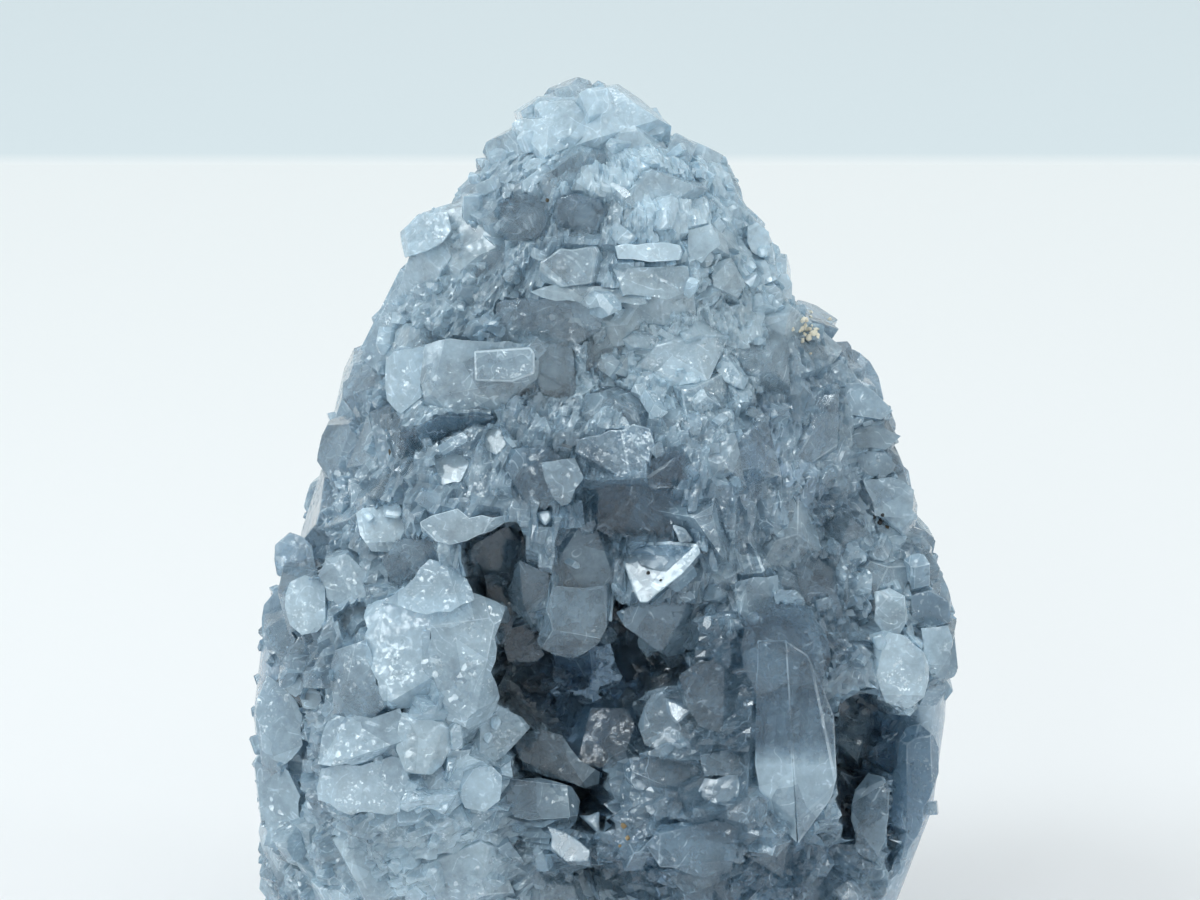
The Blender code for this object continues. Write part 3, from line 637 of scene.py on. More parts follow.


# Crystals drawn by their corners as the camera sees them, in its 1200 by 900 frame. Front is how far
# the main face stands toward the eye in mm, and right and up are its tilt. A cut is a spot, how many
# mm it lies under the main face, and its own tilt. Edge is how far the edges are rounded, in mm, and
# the next number how much paler the rounded edges are: partly abraded, partly a painted highlight.
Drawn = namedtuple(
    "Drawn", "front right up deep corners cuts tone milk frost edge wear chips",
    defaults=((), 0, 0, 0, 0.35, 1.0, 5),
)
# Drawn faces turned to a lamp also get a paler tone and milk: a painted highlight over the lamp's reflection
lampTilt = (-0.326, 0.446)  # a face turned this way throws the key lamp into the camera
frontLampTilt = (-0.124, 0.127)
drawnLook = {
    "seed": 61,
    "middle": (600, 450),  # of the camera's frame, in pixels
    "pixel": 0.13 * mm,
    "ragged": 1.6,  # in pixels
    "raggedStep": 11,  # in pixels
    "straightChips": 3,  # with no more chips than this, the sides stay straight
    "flakeDeep": 5,  # up to this depth, in mm, it is a flake and isn't chipped
    "ahead": 7 * mm,  # how far before its main face the uncut shape starts
    "chipDepth": 0.11,  # of the crystal's width
    "gap": 0.35 * mm,
    # the share of the way to its outline within which the rest keeps behind it, and from where and
    # over what share the fill sinks deeper
    "within": 0.82,
    "sinkFrom": 0.75,
    "sinkOver": 0.25,
    # parts of the frame that are kept open, and how far out the rest may stand there, in mm
    "open": (
        (24, (
            (508, 640), (530, 640), (560, 660), (600, 655), (620, 625), (645, 650), (648, 690),
            (610, 700), (585, 735), (545, 735), (520, 715), (500, 700), (498, 660))),
        (38, ((463, 543), (490, 530), (520, 528), (527, 560), (512, 600), (505, 645), (492, 600),
            (470, 590))),
        (33, ((615, 600), (640, 625), (690, 655), (690, 680), (650, 690), (630, 650), (612, 640))),
        (31, ((505, 730), (545, 735), (580, 745), (603, 775), (606, 830), (585, 830), (575, 785),
            (520, 775))),
        (21, ((840, 705), (862, 690), (884, 705), (890, 730), (884, 770), (862, 780), (850, 850),
            (838, 790))),
    ),
    "crystals": (
        # Crystals that hang from the brow
        Drawn(46.5, 0.05, -0.10, 13, (
            (553, 586), (585, 588), (615, 584), (616, 600), (608, 625), (598, 644), (583, 654),
            (570, 658), (555, 655), (540, 648), (534, 635), (546, 610)),
            ((570, 642, 0.9, -0.1, -0.9), (611, 612, 0.7, 1.3, -0.1), (544, 622, 0.8, -0.9, -0.4)),
            0.0, -0.6, 0, 0.3, 1.6, 1),
        Drawn(45.5, -0.05, 0.0, 13, (
            (555, 530), (580, 525), (607, 527), (616, 562), (615, 587), (585, 591), (552, 588)),
            ((561, 548, 0.4, -0.7, 0.4), (606, 545, 0.4, 0.8, 0.3)), -0.1, -0.2, 0, 0.35, 1.0, 2),
        Drawn(43.5, -0.2, -0.25, 12, (
            (515, 566), (521, 557), (552, 572), (550, 582), (546, 607), (532, 627), (512, 610),
            (508, 590)), ((518, 602, 0.4, -0.9, -0.3),), -0.1, -0.3),
        Drawn(51.5, *lampTilt, 4, ((536, 512), (550, 510), (553, 516), (546, 527), (540, 521)), (), 0.3, 0.3),
        # Three-cornered face and the broken band under it
        Drawn(51.6, *lampTilt, 12, (
            (623, 562), (628, 548), (639, 543), (671, 541), (698, 544), (701, 553), (682, 575),
            (660, 592), (648, 603), (640, 603), (633, 590)), (), 0.7, 0.8, 0, 0.2, 1.0, 0),
        Drawn(51.5, -0.22, 0.33, 3, (
            (631, 552), (640, 546), (671, 544), (694, 547), (696, 552), (680, 563), (668, 573),
            (655, 570), (640, 565)), (), -0.7, -0.3, 0, 0.1, 1.0, 0),
        Drawn(46.0, 0.05, -0.40, 12, (
            (616, 612), (640, 604), (694, 602), (697, 640), (690, 655), (668, 657), (645, 642),
            (625, 627)), ((680, 640, 0.5, 0.5, -0.6),), 0.1, 0.1),
        Drawn(50.0, 0.22, -0.10, 9, (
            (735, 600), (735, 582), (755, 577), (778, 575), (781, 600), (768, 618), (758, 625),
            (748, 626), (737, 617)), ((744, 590, 0.2, -0.8, 0.1),), 0.45, 0.2),
        Drawn(50.2, *frontLampTilt, 3, ((746, 613), (756, 610), (760, 617), (756, 625), (748, 624)),
            (), 0.8, 0.8),
        # Left lobe
        Drawn(51.0, -0.12, 0.38, 10, (
            (382, 602), (405, 587), (430, 559), (450, 565), (465, 577), (475, 600), (450, 612),
            (415, 612)), ((455, 580, 0.3, 0.5, 0.6),), 0.35, 0.35),
        Drawn(50.2, 0.22, 0.16, 12, (
            (432, 600), (475, 593), (506, 607), (501, 622), (495, 637), (496, 660), (491, 672), (500, 697),
            (492, 717), (468, 729), (447, 720), (438, 690), (428, 650)),
            ((492, 612, 0.4, 0.7, 0.5), (486, 690, 0.5, 1.0, 0.0), (440, 710, 0.5, -0.4, -0.5)), 0.35, 0.4),
        Drawn(49.8, -0.12, 0.10, 12, (
            (367, 605), (400, 597), (434, 600), (430, 640), (440, 688), (420, 712), (385, 705),
            (372, 670), (362, 640)), ((375, 620, 0.6, -0.8, 0.2), (420, 690, 0.5, 0.3, -0.6)), 0.25, 0.3),
        Drawn(48.6, -0.3, -0.05, 12, (
            (335, 650), (366, 640), (375, 672), (388, 706), (372, 722), (334, 716), (331, 685)),
            ((345, 670, 0.4, -1.0, 0.1),), 0.1, 0.1),
        Drawn(50.6, -0.08, 0.28, 13, (
            (322, 735), (334, 714), (372, 718), (400, 708), (415, 730), (400, 752), (360, 768), (318, 764)),
            ((330, 745, 0.5, -0.8, 0.3), (385, 755, 0.5, 0.1, -0.6)), 0.3, 0.4),
        Drawn(51.0, 0.15, 0.0, 13, (
            (402, 712), (447, 722), (455, 736), (449, 752), (432, 775), (405, 772), (396, 750)),
            ((446, 740, 0.6, 0.8, -0.2),), 0.2, 0.2),
        Drawn(48.9, -0.15, -0.2, 12, (
            (312, 768), (360, 766), (398, 752), (412, 775), (400, 812), (350, 815), (318, 800)),
            (), 0.1, 0.1),
        Drawn(48.5, 0.1, 0.1, 9, (
            (415, 768), (425, 760), (440, 759), (449, 768), (450, 785), (440, 797), (425, 795),
            (416, 785)), (), 0.1, 0.0, 0, 0.9),
        Drawn(47.5, 0.1, 0.15, 10, (
            (460, 775), (475, 765), (490, 764), (502, 776), (500, 800), (485, 812), (465, 808),
            (457, 790)), (), 0.1, 0.1, 0, 1.0),
        # Left of the lobe
        Drawn(44.0, -0.05, 0.25, 9, (
            (356, 513), (366, 506), (399, 502), (407, 530), (403, 548), (388, 556), (372, 552),
            (360, 535)), ((380, 545, 0.3, 0.0, -0.6),), 1.2, 1.2),
        Drawn(44.8, *lampTilt, 3, ((382, 504), (399, 502), (403, 512), (399, 519), (384, 517)), (), 1.0, 1.0),
        Drawn(44.6, *lampTilt, 3, ((362, 513), (372, 512), (375, 518), (368, 523)), (), 1.0, 1.0),
        Drawn(47.0, -0.1, -0.3, 9, (
            (385, 547), (395, 540), (415, 537), (437, 543), (440, 560), (425, 577), (400, 587),
            (386, 570)), (), -0.5, -0.4),
        Drawn(41.0, -0.25, 0.15, 9, (
            (290, 582), (305, 575), (325, 582), (330, 600), (329, 620), (317, 632), (302, 635),
            (290, 625), (285, 607)), (), 0.9, 0.9, 0, 1.3),
        Drawn(43.0, -0.2, 0.1, 9, (
            (327, 552), (345, 548), (357, 557), (367, 577), (366, 600), (340, 606), (328, 600),
            (318, 575)), ((335, 560, 0.3, -0.6, 0.6),), 0.5, 0.6, 0, 0.8),
        Drawn(42.0, -0.3, 0.2, 7, (
            (337, 617), (345, 607), (365, 603), (367, 620), (352, 636), (342, 638)),
            (), 0.4, -0.2, 0, 0.3, 2.0),
        Drawn(36.5, -0.2, 0.1, 8, (
            (286, 680), (294, 674), (302, 678), (304, 690), (296, 697), (287, 692)), (), 0.6, 0.2, 0, 0.7),
        Drawn(38.5, -0.1, 0.0, 8, (
            (300, 692), (310, 688), (321, 692), (323, 702), (315, 710), (303, 708)), (), 0.6, 0.1, 0, 0.7),
        Drawn(30.0, -0.5, 0.1, 8, (
            (275, 545), (290, 532), (312, 545), (318, 575), (300, 583), (277, 575)), (), 0.2, 0.4, 0, 1.0),
        Drawn(24.5, -0.5, 0.0, 8, (
            (264, 605), (276, 590), (288, 600), (290, 650), (270, 655), (262, 632)), (), 0.2, 0.4, 0, 1.0),
        Drawn(28.0, -0.4, 0.0, 9, (
            (257, 700), (268, 672), (288, 690), (303, 715), (303, 745), (285, 765), (262, 750)),
            (), 0.3, 0.5, 0, 1.2),
        Drawn(27.0, -0.4, -0.1, 9, (
            (262, 785), (285, 768), (302, 790), (297, 830), (272, 838), (263, 812)), (), 0.2, 0.4, 0, 1.0),
        # Beside the pocket
        Drawn(44.5, 0.35, -0.15, 10, (
            (465, 732), (482, 720), (500, 705), (522, 717), (530, 727), (527, 740), (500, 765),
            (482, 762), (467, 747)), ((478, 742, 0.3, -0.7, -0.1),), 0.0, 0.0),
        Drawn(45.6, *lampTilt, 3, ((490, 716), (499, 715), (502, 722), (497, 731), (491, 728)), (), 0.6, 0.6),
        Drawn(45.4, *lampTilt, 3, ((482, 733), (490, 731), (494, 735), (488, 745), (484, 741)), (), 0.6, 0.6),
        Drawn(42.0, 0.05, 0.25, 12, (
            (505, 778), (540, 778), (572, 787), (580, 800), (575, 826), (545, 823), (515, 817),
            (505, 802)), ((560, 820, 0.3, 0.1, -0.9), (576, 802, 0.2, 1.2, 0.2)), 0.1, 0.0, 0, 0.25, 2.0),
        Drawn(40.5, -0.28, 0.42, 5, ((578, 815), (600, 811), (601, 837), (590, 826)), (), 0.5, 0.4),
        Drawn(46.0, -0.1, 0.2, 8, ((547, 826), (566, 832), (590, 850), (592, 868), (570, 866), (550, 850)),
            (), 0.2, 0.1),
        # Right lobe
        Drawn(46.5, -0.22, 0.06, 10, (
            (655, 690), (680, 695), (695, 712), (700, 730), (690, 747), (660, 750), (645, 745),
            (638, 725), (645, 705)), ((647, 718, 0.3, -0.9, 0.1),), 0.1, -0.1),
        Drawn(47.3, *lampTilt, 3, ((665, 697), (678, 702), (693, 710), (677, 725), (668, 715)), (), 0.5, 0.5),
        Drawn(50.0, 0.05, -0.08, 12, (
            (680, 672), (700, 660), (725, 662), (740, 675), (742, 700), (735, 718), (720, 737),
            (700, 727), (685, 705), (676, 690)),
            ((690, 680, 0.4, -0.6, 0.4), (730, 700, 0.5, 0.7, -0.1)), 0.1, -0.2),
        Drawn(44.5, -0.05, 0.2, 10, (
            (623, 765), (630, 758), (645, 755), (697, 765), (702, 778), (690, 787), (640, 790),
            (628, 787)), ((630, 772, 0.3, -1.1, 0.0),), 0.1, -0.1, 0, 0.4, 1.6),
        Drawn(48.0, -0.05, 0.3, 8, ((700, 752), (735, 748), (750, 760), (745, 775), (705, 776)),
            (), 0.1, 0.2),
        Drawn(49.0, -0.3, 0.40, 6, ((697, 792), (705, 778), (738, 775), (742, 790), (735, 803), (708, 805)),
            (), 0.5, 0.5),
        Drawn(49.0, 0.0, 0.06, 12, (
            (645, 845), (660, 825), (690, 820), (725, 815), (745, 830), (747, 850), (732, 872),
            (700, 877), (660, 867)), ((655, 845, 0.4, -0.7, 0.1), (700, 868, 0.5, 0.1, -0.8)), 0.1, -0.1),
        Drawn(52.6, -0.30, -0.06, 14, (
            (757, 640), (787, 640), (797, 843), (776, 821), (760, 794), (755, 765)),
            ((765, 806, 0.7, -0.7, -0.55),), -0.7, -0.9, 1.3, 0.2, 1.0, 0),
        Drawn(52.9, 0.24, -0.08, 14, (
            (785, 640), (808, 655), (824, 690), (834, 716), (837, 777), (831, 799), (798, 844)),
            ((830, 730, 0.5, 1.1, 0.1), (820, 812, 0.7, 0.7, -0.6)),
            -0.8, -0.9, 1.2, 0.2, 1.2, 0),
        # Dark mass over the double-pointed crystal; its dark tone is painted shade
        Drawn(54.0, 0.05, 0.05, 9, (
            (744, 618), (772, 602), (812, 610), (830, 648), (822, 694), (786, 684), (756, 696), (742, 655)),
            ((760, 680, 0.3, -0.3, -0.5), (805, 682, 0.3, 0.3, -0.5)), -0.3, -0.5, 0, 0.6, 0.2),
        # Right edge
        Drawn(41.0, 0.12, -0.12, 9, (
            (869, 635), (884, 630), (906, 635), (924, 652), (929, 680), (924, 697), (909, 709),
            (884, 702), (874, 672)), ((877, 660, 0.3, -0.8, 0.1), (900, 700, 0.5, 0.1, -0.9)), 0.6, 0.7),
        Drawn(41.8, *frontLampTilt, 3, ((871, 637), (882, 633), (888, 641), (884, 650), (876, 650)),
            (), 0.8, 0.8),
        Drawn(37.5, 0.0, 0.1, 9, (
            (874, 592), (890, 588), (905, 596), (908, 620), (900, 634), (885, 636), (874, 620)),
            (), 0.5, 0.6, 0, 0.9),
        Drawn(33.0, 0.3, -0.2, 9, ((911, 595), (930, 590), (948, 600), (951, 622), (935, 628), (912, 622)),
            (), -0.7, -0.4),
        Drawn(36.0, 0.3, 0.15, 9, (
            (921, 628), (948, 625), (953, 640), (950, 665), (944, 683), (932, 677), (924, 655)),
            ((935, 668, 0.3, 0.3, -0.6),), 0.2, 0.2),
        Drawn(28.0, 0.35, 0.0, 10, (
            (906, 727), (920, 723), (934, 735), (939, 747), (935, 785), (923, 822), (906, 862),
            (886, 872), (890, 800), (898, 750)), ((918, 733, 0.4, -0.3, 0.9), (903, 780, 0.6, -0.9, 0.0)),
            0.1, 0.3),
        Drawn(35.0, -0.2, 0.1, 10, (
            (855, 790), (868, 773), (885, 777), (890, 790), (886, 830), (875, 862), (855, 850),
            (851, 820)), ((860, 785, 0.4, -0.5, 0.8),), 0.0, 0.0, 0, 0.8),
        Drawn(34.0, 0.3, 0.1, 9, ((845, 383), (872, 390), (893, 411), (879, 421), (850, 417)), (), 0.0, 0.1),
        Drawn(33.0, 0.2, 0.2, 9, ((850, 428), (880, 424), (901, 436), (886, 450), (855, 450)), (), 0.2, 0.2),
        Drawn(34.0, 0.2, -0.1, 9, ((855, 452), (886, 453), (896, 465), (890, 477), (858, 473)), (), 0.0, 0.1),
        Drawn(34.5, 0.3, 0.0, 9, ((862, 478), (890, 477), (914, 490), (911, 520), (875, 516)), (), 0.1, 0.2),
        # In the pocket and the recess; the darker tones of the deeper ones are painted shade
        Drawn(40.0, 0.2, -0.3, 9, (
            (463, 543), (490, 533), (508, 526), (527, 553), (520, 580), (490, 590), (465, 570)),
            (), -0.4, -0.3),
        Drawn(40.0, 0.3, -0.2, 9, (
            (484, 575), (500, 575), (515, 590), (514, 620), (502, 648), (494, 620)), (), -0.6, -0.4),
        Drawn(33.0, 0.2, -0.3, 9, (
            (513, 610), (535, 632), (545, 655), (530, 668), (508, 662), (500, 640)), (), -0.7, -0.4),
        Drawn(22.0, 0.0, 0.3, 8, ((505, 676), (530, 666), (565, 668), (568, 680), (545, 694), (515, 694)),
            (), -0.4, -0.3),
        Drawn(34.0, -0.2, 0.15, 12, (
            (568, 740), (585, 705), (600, 699), (640, 702), (656, 722), (645, 752), (600, 768), (570, 765)),
            ((580, 720, 0.6, -0.8, 0.3), (635, 740, 0.6, 0.7, -0.2)), 0.1, 0.0),
        Drawn(37.0, 0.1, 0.3, 10, (
            (512, 738), (540, 728), (562, 735), (580, 760), (600, 772), (598, 790), (560, 780), (525, 770)),
            (), 0.1, 0.0),
        # Over the recess
        Drawn(51.0, -0.05, -0.05, 9, (
            (508, 450), (545, 446), (575, 462), (572, 490), (545, 510), (515, 500), (503, 475)),
            (), -0.2, -0.1),
        Drawn(53.0, -0.05, 0.1, 9, (
            (541, 462), (575, 458), (584, 478), (570, 503), (562, 506), (553, 497), (545, 480)),
            (), 0.4, 0.5),
        Drawn(49.0, 0.0, -0.22, 10, (
            (583, 486), (610, 480), (650, 480), (686, 492), (690, 515), (674, 542), (640, 543),
            (622, 545), (600, 530), (578, 520), (572, 505)), ((600, 515, 0.4, -0.4, -0.4),), -0.7, -0.6),
        Drawn(52.3, 0.1, 0.1, 4, ((672, 524), (685, 528), (694, 541), (680, 544)), (), 0.5, 0.5),
        Drawn(51.5, 0.0, 0.1, 9, (
            (577, 440), (610, 430), (650, 425), (656, 450), (642, 474), (602, 480), (575, 465)),
            ((590, 470, 0.4, -0.3, -0.4),), 0.1, 0.2),
        Drawn(49.0, -0.3, 0.42, 6, ((484, 430), (500, 426), (507, 445), (495, 457), (482, 448)),
            (), 0.8, 0.8),
        Drawn(48.5, -0.28, 0.40, 7, ((432, 458), (455, 450), (471, 462), (466, 482), (440, 486)),
            (), 0.7, 0.7),
        Drawn(46.0, 0.1, 0.2, 8, ((688, 228), (712, 224), (721, 245), (702, 263), (686, 255)), (), 0.3, 0.3),
        Drawn(44.0, 0.3, 0.1, 8, ((712, 264), (731, 257), (746, 285), (736, 302), (714, 291)), (), 0.3, 0.3),
        Drawn(44.5, -0.3, 0.1, 8, ((386, 360), (400, 345), (425, 345), (423, 398), (405, 416), (387, 400)),
            (), 0.3, 0.3),
        Drawn(52.0, 0.08, -0.30, 10, (
            (420, 522), (445, 512), (482, 515), (515, 517), (492, 531), (467, 541), (450, 545),
            (435, 541), (422, 532)), (), 0.5, 0.2, 0, 0.25, 1.6),
        # Dark band under the middle slabs; its dark tone is a painted shadow
        Drawn(48.0, 0.0, -0.75, 9, (
            (398, 448), (400, 432), (440, 415), (497, 416), (472, 426), (430, 441), (405, 457)),
            (), -0.9, -0.6),
        Drawn(50.5, 0.05, -0.35, 8, ((645, 470), (655, 455), (680, 450), (690, 465), (685, 487), (650, 490)),
            (), -0.6, -0.5),
        # Middle of the upper half
        Drawn(49.0, 0.02, -0.10, 10, (
            (425, 345), (440, 340), (530, 343), (538, 352), (538, 378), (515, 397), (495, 415),
            (425, 408), (420, 380), (423, 360)), ((432, 375, 0.4, -0.8, 0.1), (480, 400, 0.6, 0.1, -0.5)),
            0.2, 0.0),
        Drawn(50.2, 0.05, -0.10, 5, ((474, 351), (530, 347), (535, 353), (535, 374), (512, 382), (475, 381)),
            (), 0.1, -0.1, 0, 0.25, 2.0, 0),
        Drawn(46.5, -0.05, -0.28, 9, (
            (497, 300), (555, 298), (608, 306), (600, 330), (575, 347), (540, 347), (500, 344)),
            (), -0.4, -0.4),
        Drawn(47.0, 0.0, -0.15, 9, ((537, 345), (572, 345), (576, 396), (541, 393)), (), -0.5, -0.5),
        Drawn(49.3, 0.0, 0.05, 9, (
            (615, 246), (648, 243), (680, 245), (683, 252), (680, 260), (650, 262), (618, 259)),
            (), 0.3, 0.5, 0, 0.5),
        Drawn(48.3, 0.0, 0.25, 9, (
            (530, 292), (560, 284), (600, 286), (652, 292), (648, 304), (600, 307), (556, 301)),
            (), 0.25, 0.2),
        Drawn(47.9, 0.05, 0.10, 9, (
            (540, 262), (560, 248), (598, 246), (606, 262), (600, 282), (560, 288), (538, 282)),
            (), 0.25, 0.1),
        Drawn(47.8, 0.15, 0.05, 9, (
            (608, 268), (650, 264), (688, 266), (694, 290), (668, 300), (620, 296)),
            ((620, 274, 0.4, -0.5, 0.4),), 0.1, 0.0),
        # Left shoulder and the foot of the knob
        Drawn(41.2, -0.3, 0.2, 8, (
            (400, 232), (418, 214), (448, 212), (452, 230), (430, 250), (405, 258)), (), 0.5, 0.5),
        Drawn(45.3, 0.2, -0.15, 8, (
            (500, 203), (520, 193), (550, 198), (552, 225), (545, 240), (515, 245), (500, 230)),
            (), -0.6, -0.5),
        Drawn(45.8, 0.05, -0.35, 8, (
            (550, 215), (555, 199), (575, 193), (600, 199), (607, 215), (600, 238), (580, 232),
            (560, 230)), (), -0.9, -0.6),
        Drawn(39.5, 0.35, 0.1, 7, ((745, 228), (757, 222), (769, 232), (771, 250), (764, 259), (752, 252)),
            (), 0.8, 0.8),
        Drawn(40.3, *lampTilt, 3, ((757, 247), (767, 246), (769, 256), (759, 258)), (), 0.8, 0.8),
    ),
}


def seenAt(column, row, out):  # a spot of the camera's frame that stands out toward the eye
    right, above, toward = viewAxes()
    near = 1 - out / eye["distance"]
    middleColumn, middleRow = drawnLook["middle"]
    across = cameraLook["aside"] + (column - middleColumn) * drawnLook["pixel"] * near
    up = cameraLook["up"] + (middleRow - row) * drawnLook["pixel"] * near
    return right * across + above * up + toward * out


def drawnPlanes(item):  # point and normal of the main face and of each cut
    right, above, toward = viewAxes()
    column = sum(corner[0] for corner in item.corners) / len(item.corners)
    row = sum(corner[1] for corner in item.corners) / len(item.corners)
    middle = seenAt(column, row, item.front * mm)
    normal = (right * item.right + above * item.up + toward).normalized()
    planes = [(middle, normal)]
    for cutColumn, cutRow, under, cutRight, cutUp in item.cuts:
        spot = seenAt(cutColumn, cutRow, item.front * mm)
        spot = spot - toward * ((spot - middle).dot(normal) / toward.dot(normal) + under * mm)
        planes.append((spot, (right * cutRight + above * cutUp + toward).normalized()))
    return planes


def ragged(corners, rough, dice):  # breaks the straight sides of an outline up a little
    result = []
    for (column, row), (nextColumn, nextRow) in zip(corners, corners[1:] + corners[:1]):
        side = math.hypot(nextColumn - column, nextRow - row)
        pieces = max(1, int(side / drawnLook["raggedStep"]))
        for piece in range(pieces):
            share = piece / pieces
            off = dice.gauss(0, rough) / side if piece else 0
            result.append((
                column + (nextColumn - column) * share - (nextRow - row) * off,
                row + (nextRow - row) * share + (nextColumn - column) * off,
            ))
    return result


def drawnCrystals():
    dice = random.Random(drawnLook["seed"])
    solids = []
    for item in drawnLook["crystals"]:
        shape = bmesh.new()
        rings = []
        corners = item.corners
        if item.chips > drawnLook["straightChips"]:
            corners = ragged(corners, drawnLook["ragged"], dice)
        for out in (item.front * mm + drawnLook["ahead"], (item.front - item.deep) * mm):
            rings.append([shape.verts.new(seenAt(column, row, out)) for column, row in corners])
        shape.faces.new(rings[0])
        shape.faces.new(list(reversed(rings[1])))
        count = len(corners)
        for corner in range(count):
            after = (corner + 1) % count
            shape.faces.new((rings[0][corner], rings[1][corner], rings[1][after], rings[0][after]))
        bmesh.ops.recalc_face_normals(shape, faces=shape.faces)
        for point, normal in drawnPlanes(item):
            cutAway(shape, point, normal)
        columns, rows = zip(*item.corners)
        if item.deep > drawnLook["flakeDeep"]:
            wide = math.sqrt((max(columns) - min(columns)) * (max(rows) - min(rows))) * drawnLook["pixel"]
            chipped(shape, drawnLook["chipDepth"] * wide, item.chips, dice)
        rounded(shape, item.edge * mm, 2, item.wear)
        top, bottom = (seenAt(drawnLook["middle"][0], row, 0) for row in (min(rows), max(rows)))
        solids.append(tinted(solidOf(shape, top, bottom, dice), item))
    return solids


def inFrame(points):  # where points are in the camera's frame, and how far out toward the eye
    right, above, toward = (np.array(axis) for axis in viewAxes())
    out = points @ toward
    near = drawnLook["pixel"] * (1 - out / eye["distance"])
    middleColumn, middleRow = drawnLook["middle"]
    columns = middleColumn + (points @ right - cameraLook["aside"]) / near
    rows = middleRow - (points @ above - cameraLook["up"]) / near
    return columns, rows, out


def bulging(corners):  # an outline without the corners that turn inward
    corners = list(corners)
    following = corners[1:] + corners[:1]
    area = sum(x * nextY - nextX * y for (x, y), (nextX, nextY) in zip(corners, following))
    place = 0
    while place < len(corners):
        before, here, after = corners[place - 1], corners[place], corners[(place + 1) % len(corners)]
        turn = (here[0] - before[0]) * (after[1] - here[1]) - (after[0] - here[0]) * (here[1] - before[1])
        if turn * area < 0:
            corners.remove(here)
            place = 0
        else:
            place += 1
    return corners


def drawnShapes():  # outline and planes of each drawn crystal, for the crystals around it to heed
    shapes = []
    opened = [Drawn(front, 0, 0, 5, corners) for front, corners in drawnLook["open"]]
    for item in list(drawnLook["crystals"]) + opened:
        corners = np.array(bulging(item.corners), float)
        middle = corners.mean(axis=0)
        sides = np.roll(corners, -1, axis=0) - corners
        outward = np.stack([sides[:, 1], -sides[:, 0]], axis=1)
        outward /= np.linalg.norm(outward, axis=1)[:, None]
        reach = ((corners - middle) * outward).sum(axis=1)
        outward, reach = outward * np.sign(reach)[:, None], np.maximum(np.abs(reach), 1.0)
        planes = [(np.array(point), np.array(normal)) for point, normal in drawnPlanes(item)]
        shapes.append((middle, outward, reach, planes, item.deep))
    return shapes


def nearDrawn(points, shapes):  # share of the way to each outline, and how far past its faces
    columns, rows, _ = inFrame(points)
    seen = np.stack([columns, rows], axis=1)
    toward = np.array(viewAxes()[2])
    for middle, outward, reach, planes, deep in shapes:
        share = ((seen - middle) @ outward.T / reach).max(axis=1)
        past = np.full(len(points), -1.0)
        for point, normal in planes:
            past = np.maximum(past, (points - point) @ normal / (toward @ normal))
        yield share, past, deep


# How far each point stands before the drawn crystals
def overDrawn(points, shapes, within=drawnLook["within"], sunk=0.0):
    most = np.full(len(points), -1.0)
    for share, past, deep in nearDrawn(points, shapes):
        inside = share < (within if deep > drawnLook["flakeDeep"] else 1.0)
        below = sunk * np.clip((drawnLook["sinkFrom"] - share) / drawnLook["sinkOver"], 0, 1)
        below += drawnLook["gap"]
        most = np.where(inside, np.maximum(most, past + below), most)
    return most


def pushedBehind(solid, shapes):  # so that nothing stands before the drawn crystals
    shift = overDrawn(solid["points"], shapes).max()
    if shift > 0:
        solid["points"] = solid["points"] - np.array(viewAxes()[2]) * shift
    return solid


# Crystals that fill the face between the placed ones
faceLook = {
    "seed": 7,
    "detailSeed": 202,
    "tries": 6000,
    "tips": ("point", "chisel", "blunt", "blunt", "broken"),
    "spacing": 7.0 * mm,
    "clearance": 0.42,
    "length": (9.0 * mm, 14.0 * mm),
    "slenderness": (0.75, 1.0),
    "flatness": (0.75, 1.0),
    "stray": 0.4,
    "sideways": 0.6,  # share that is left of the lean to the side
    "forward": 0.35,
    "sunk": 0.55,
    "hollowDepth": 5 * mm,
    "hollowLength": 0.75,  # share of the length, in the hollows
    "sideTurn": math.radians(14),
    "edge": 0.12 * mm,
    "edgeSteps": 1,
    "chips": 2,
    "chipDepth": 0.8 * mm,
    "besides": (0, 0, 1),
}


def faceCrystals(taken, drawnAround):
    dice = random.Random(faceLook["seed"])
    detail = random.Random(faceLook["detailSeed"])
    solids, roots = [], []
    for _ in range(faceLook["tries"]):
        height = dice.uniform(1 * mm, wallLook["height"] - 1 * mm)
        turn = -dice.uniform(-faceLook["sideTurn"], math.pi + faceLook["sideTurn"])
        root = skin(turn, height)
        if onRim(root) or any((root - other).length < faceLook["spacing"] for other in roots):
            continue
        if any((root - middle).length < faceLook["clearance"] * width for middle, width in taken):
            continue
        roots.append(root)
        length = dice.uniform(*faceLook["length"])
        if swellAt(root.x, height) < -faceLook["hollowDepth"]:
            length *= faceLook["hollowLength"]
        width = length * dice.uniform(*faceLook["slenderness"])
        thick = width * dice.uniform(*faceLook["flatness"])
        axis = skinNormal(turn, height) + Vector([dice.gauss(0, faceLook["stray"]) for _ in range(3)])
        axis = Vector((faceLook["sideways"] * axis.x, axis.y - faceLook["forward"], axis.z)).normalized()
        tip = dice.choice(faceLook["tips"])
        shape = crystal(length, width, thick, tip, (), dice)
        matrix = aimed(root, axis, dice.uniform(0, math.tau), length, faceLook["sunk"])
        solids += grown(shape, matrix, root, axis, (length, width, thick), tip, faceLook, detail)
    return [pushedBehind(solid, drawnAround) for solid in solids if solid]


def facetNoise(seed, seeds):  # a bed of small tilted facets, read at any spot
    tilts = np.random.default_rng(seed).normal(0, 1, seeds.shape)
    tree = KDTree(len(seeds))
    for number, spot in enumerate(seeds):
        tree.insert(spot, number)
    tree.balance()

    def read(spot):
        _, number, _ = tree.find(spot)
        return float(np.dot(np.array(spot) - seeds[number], tilts[number]))
    return read


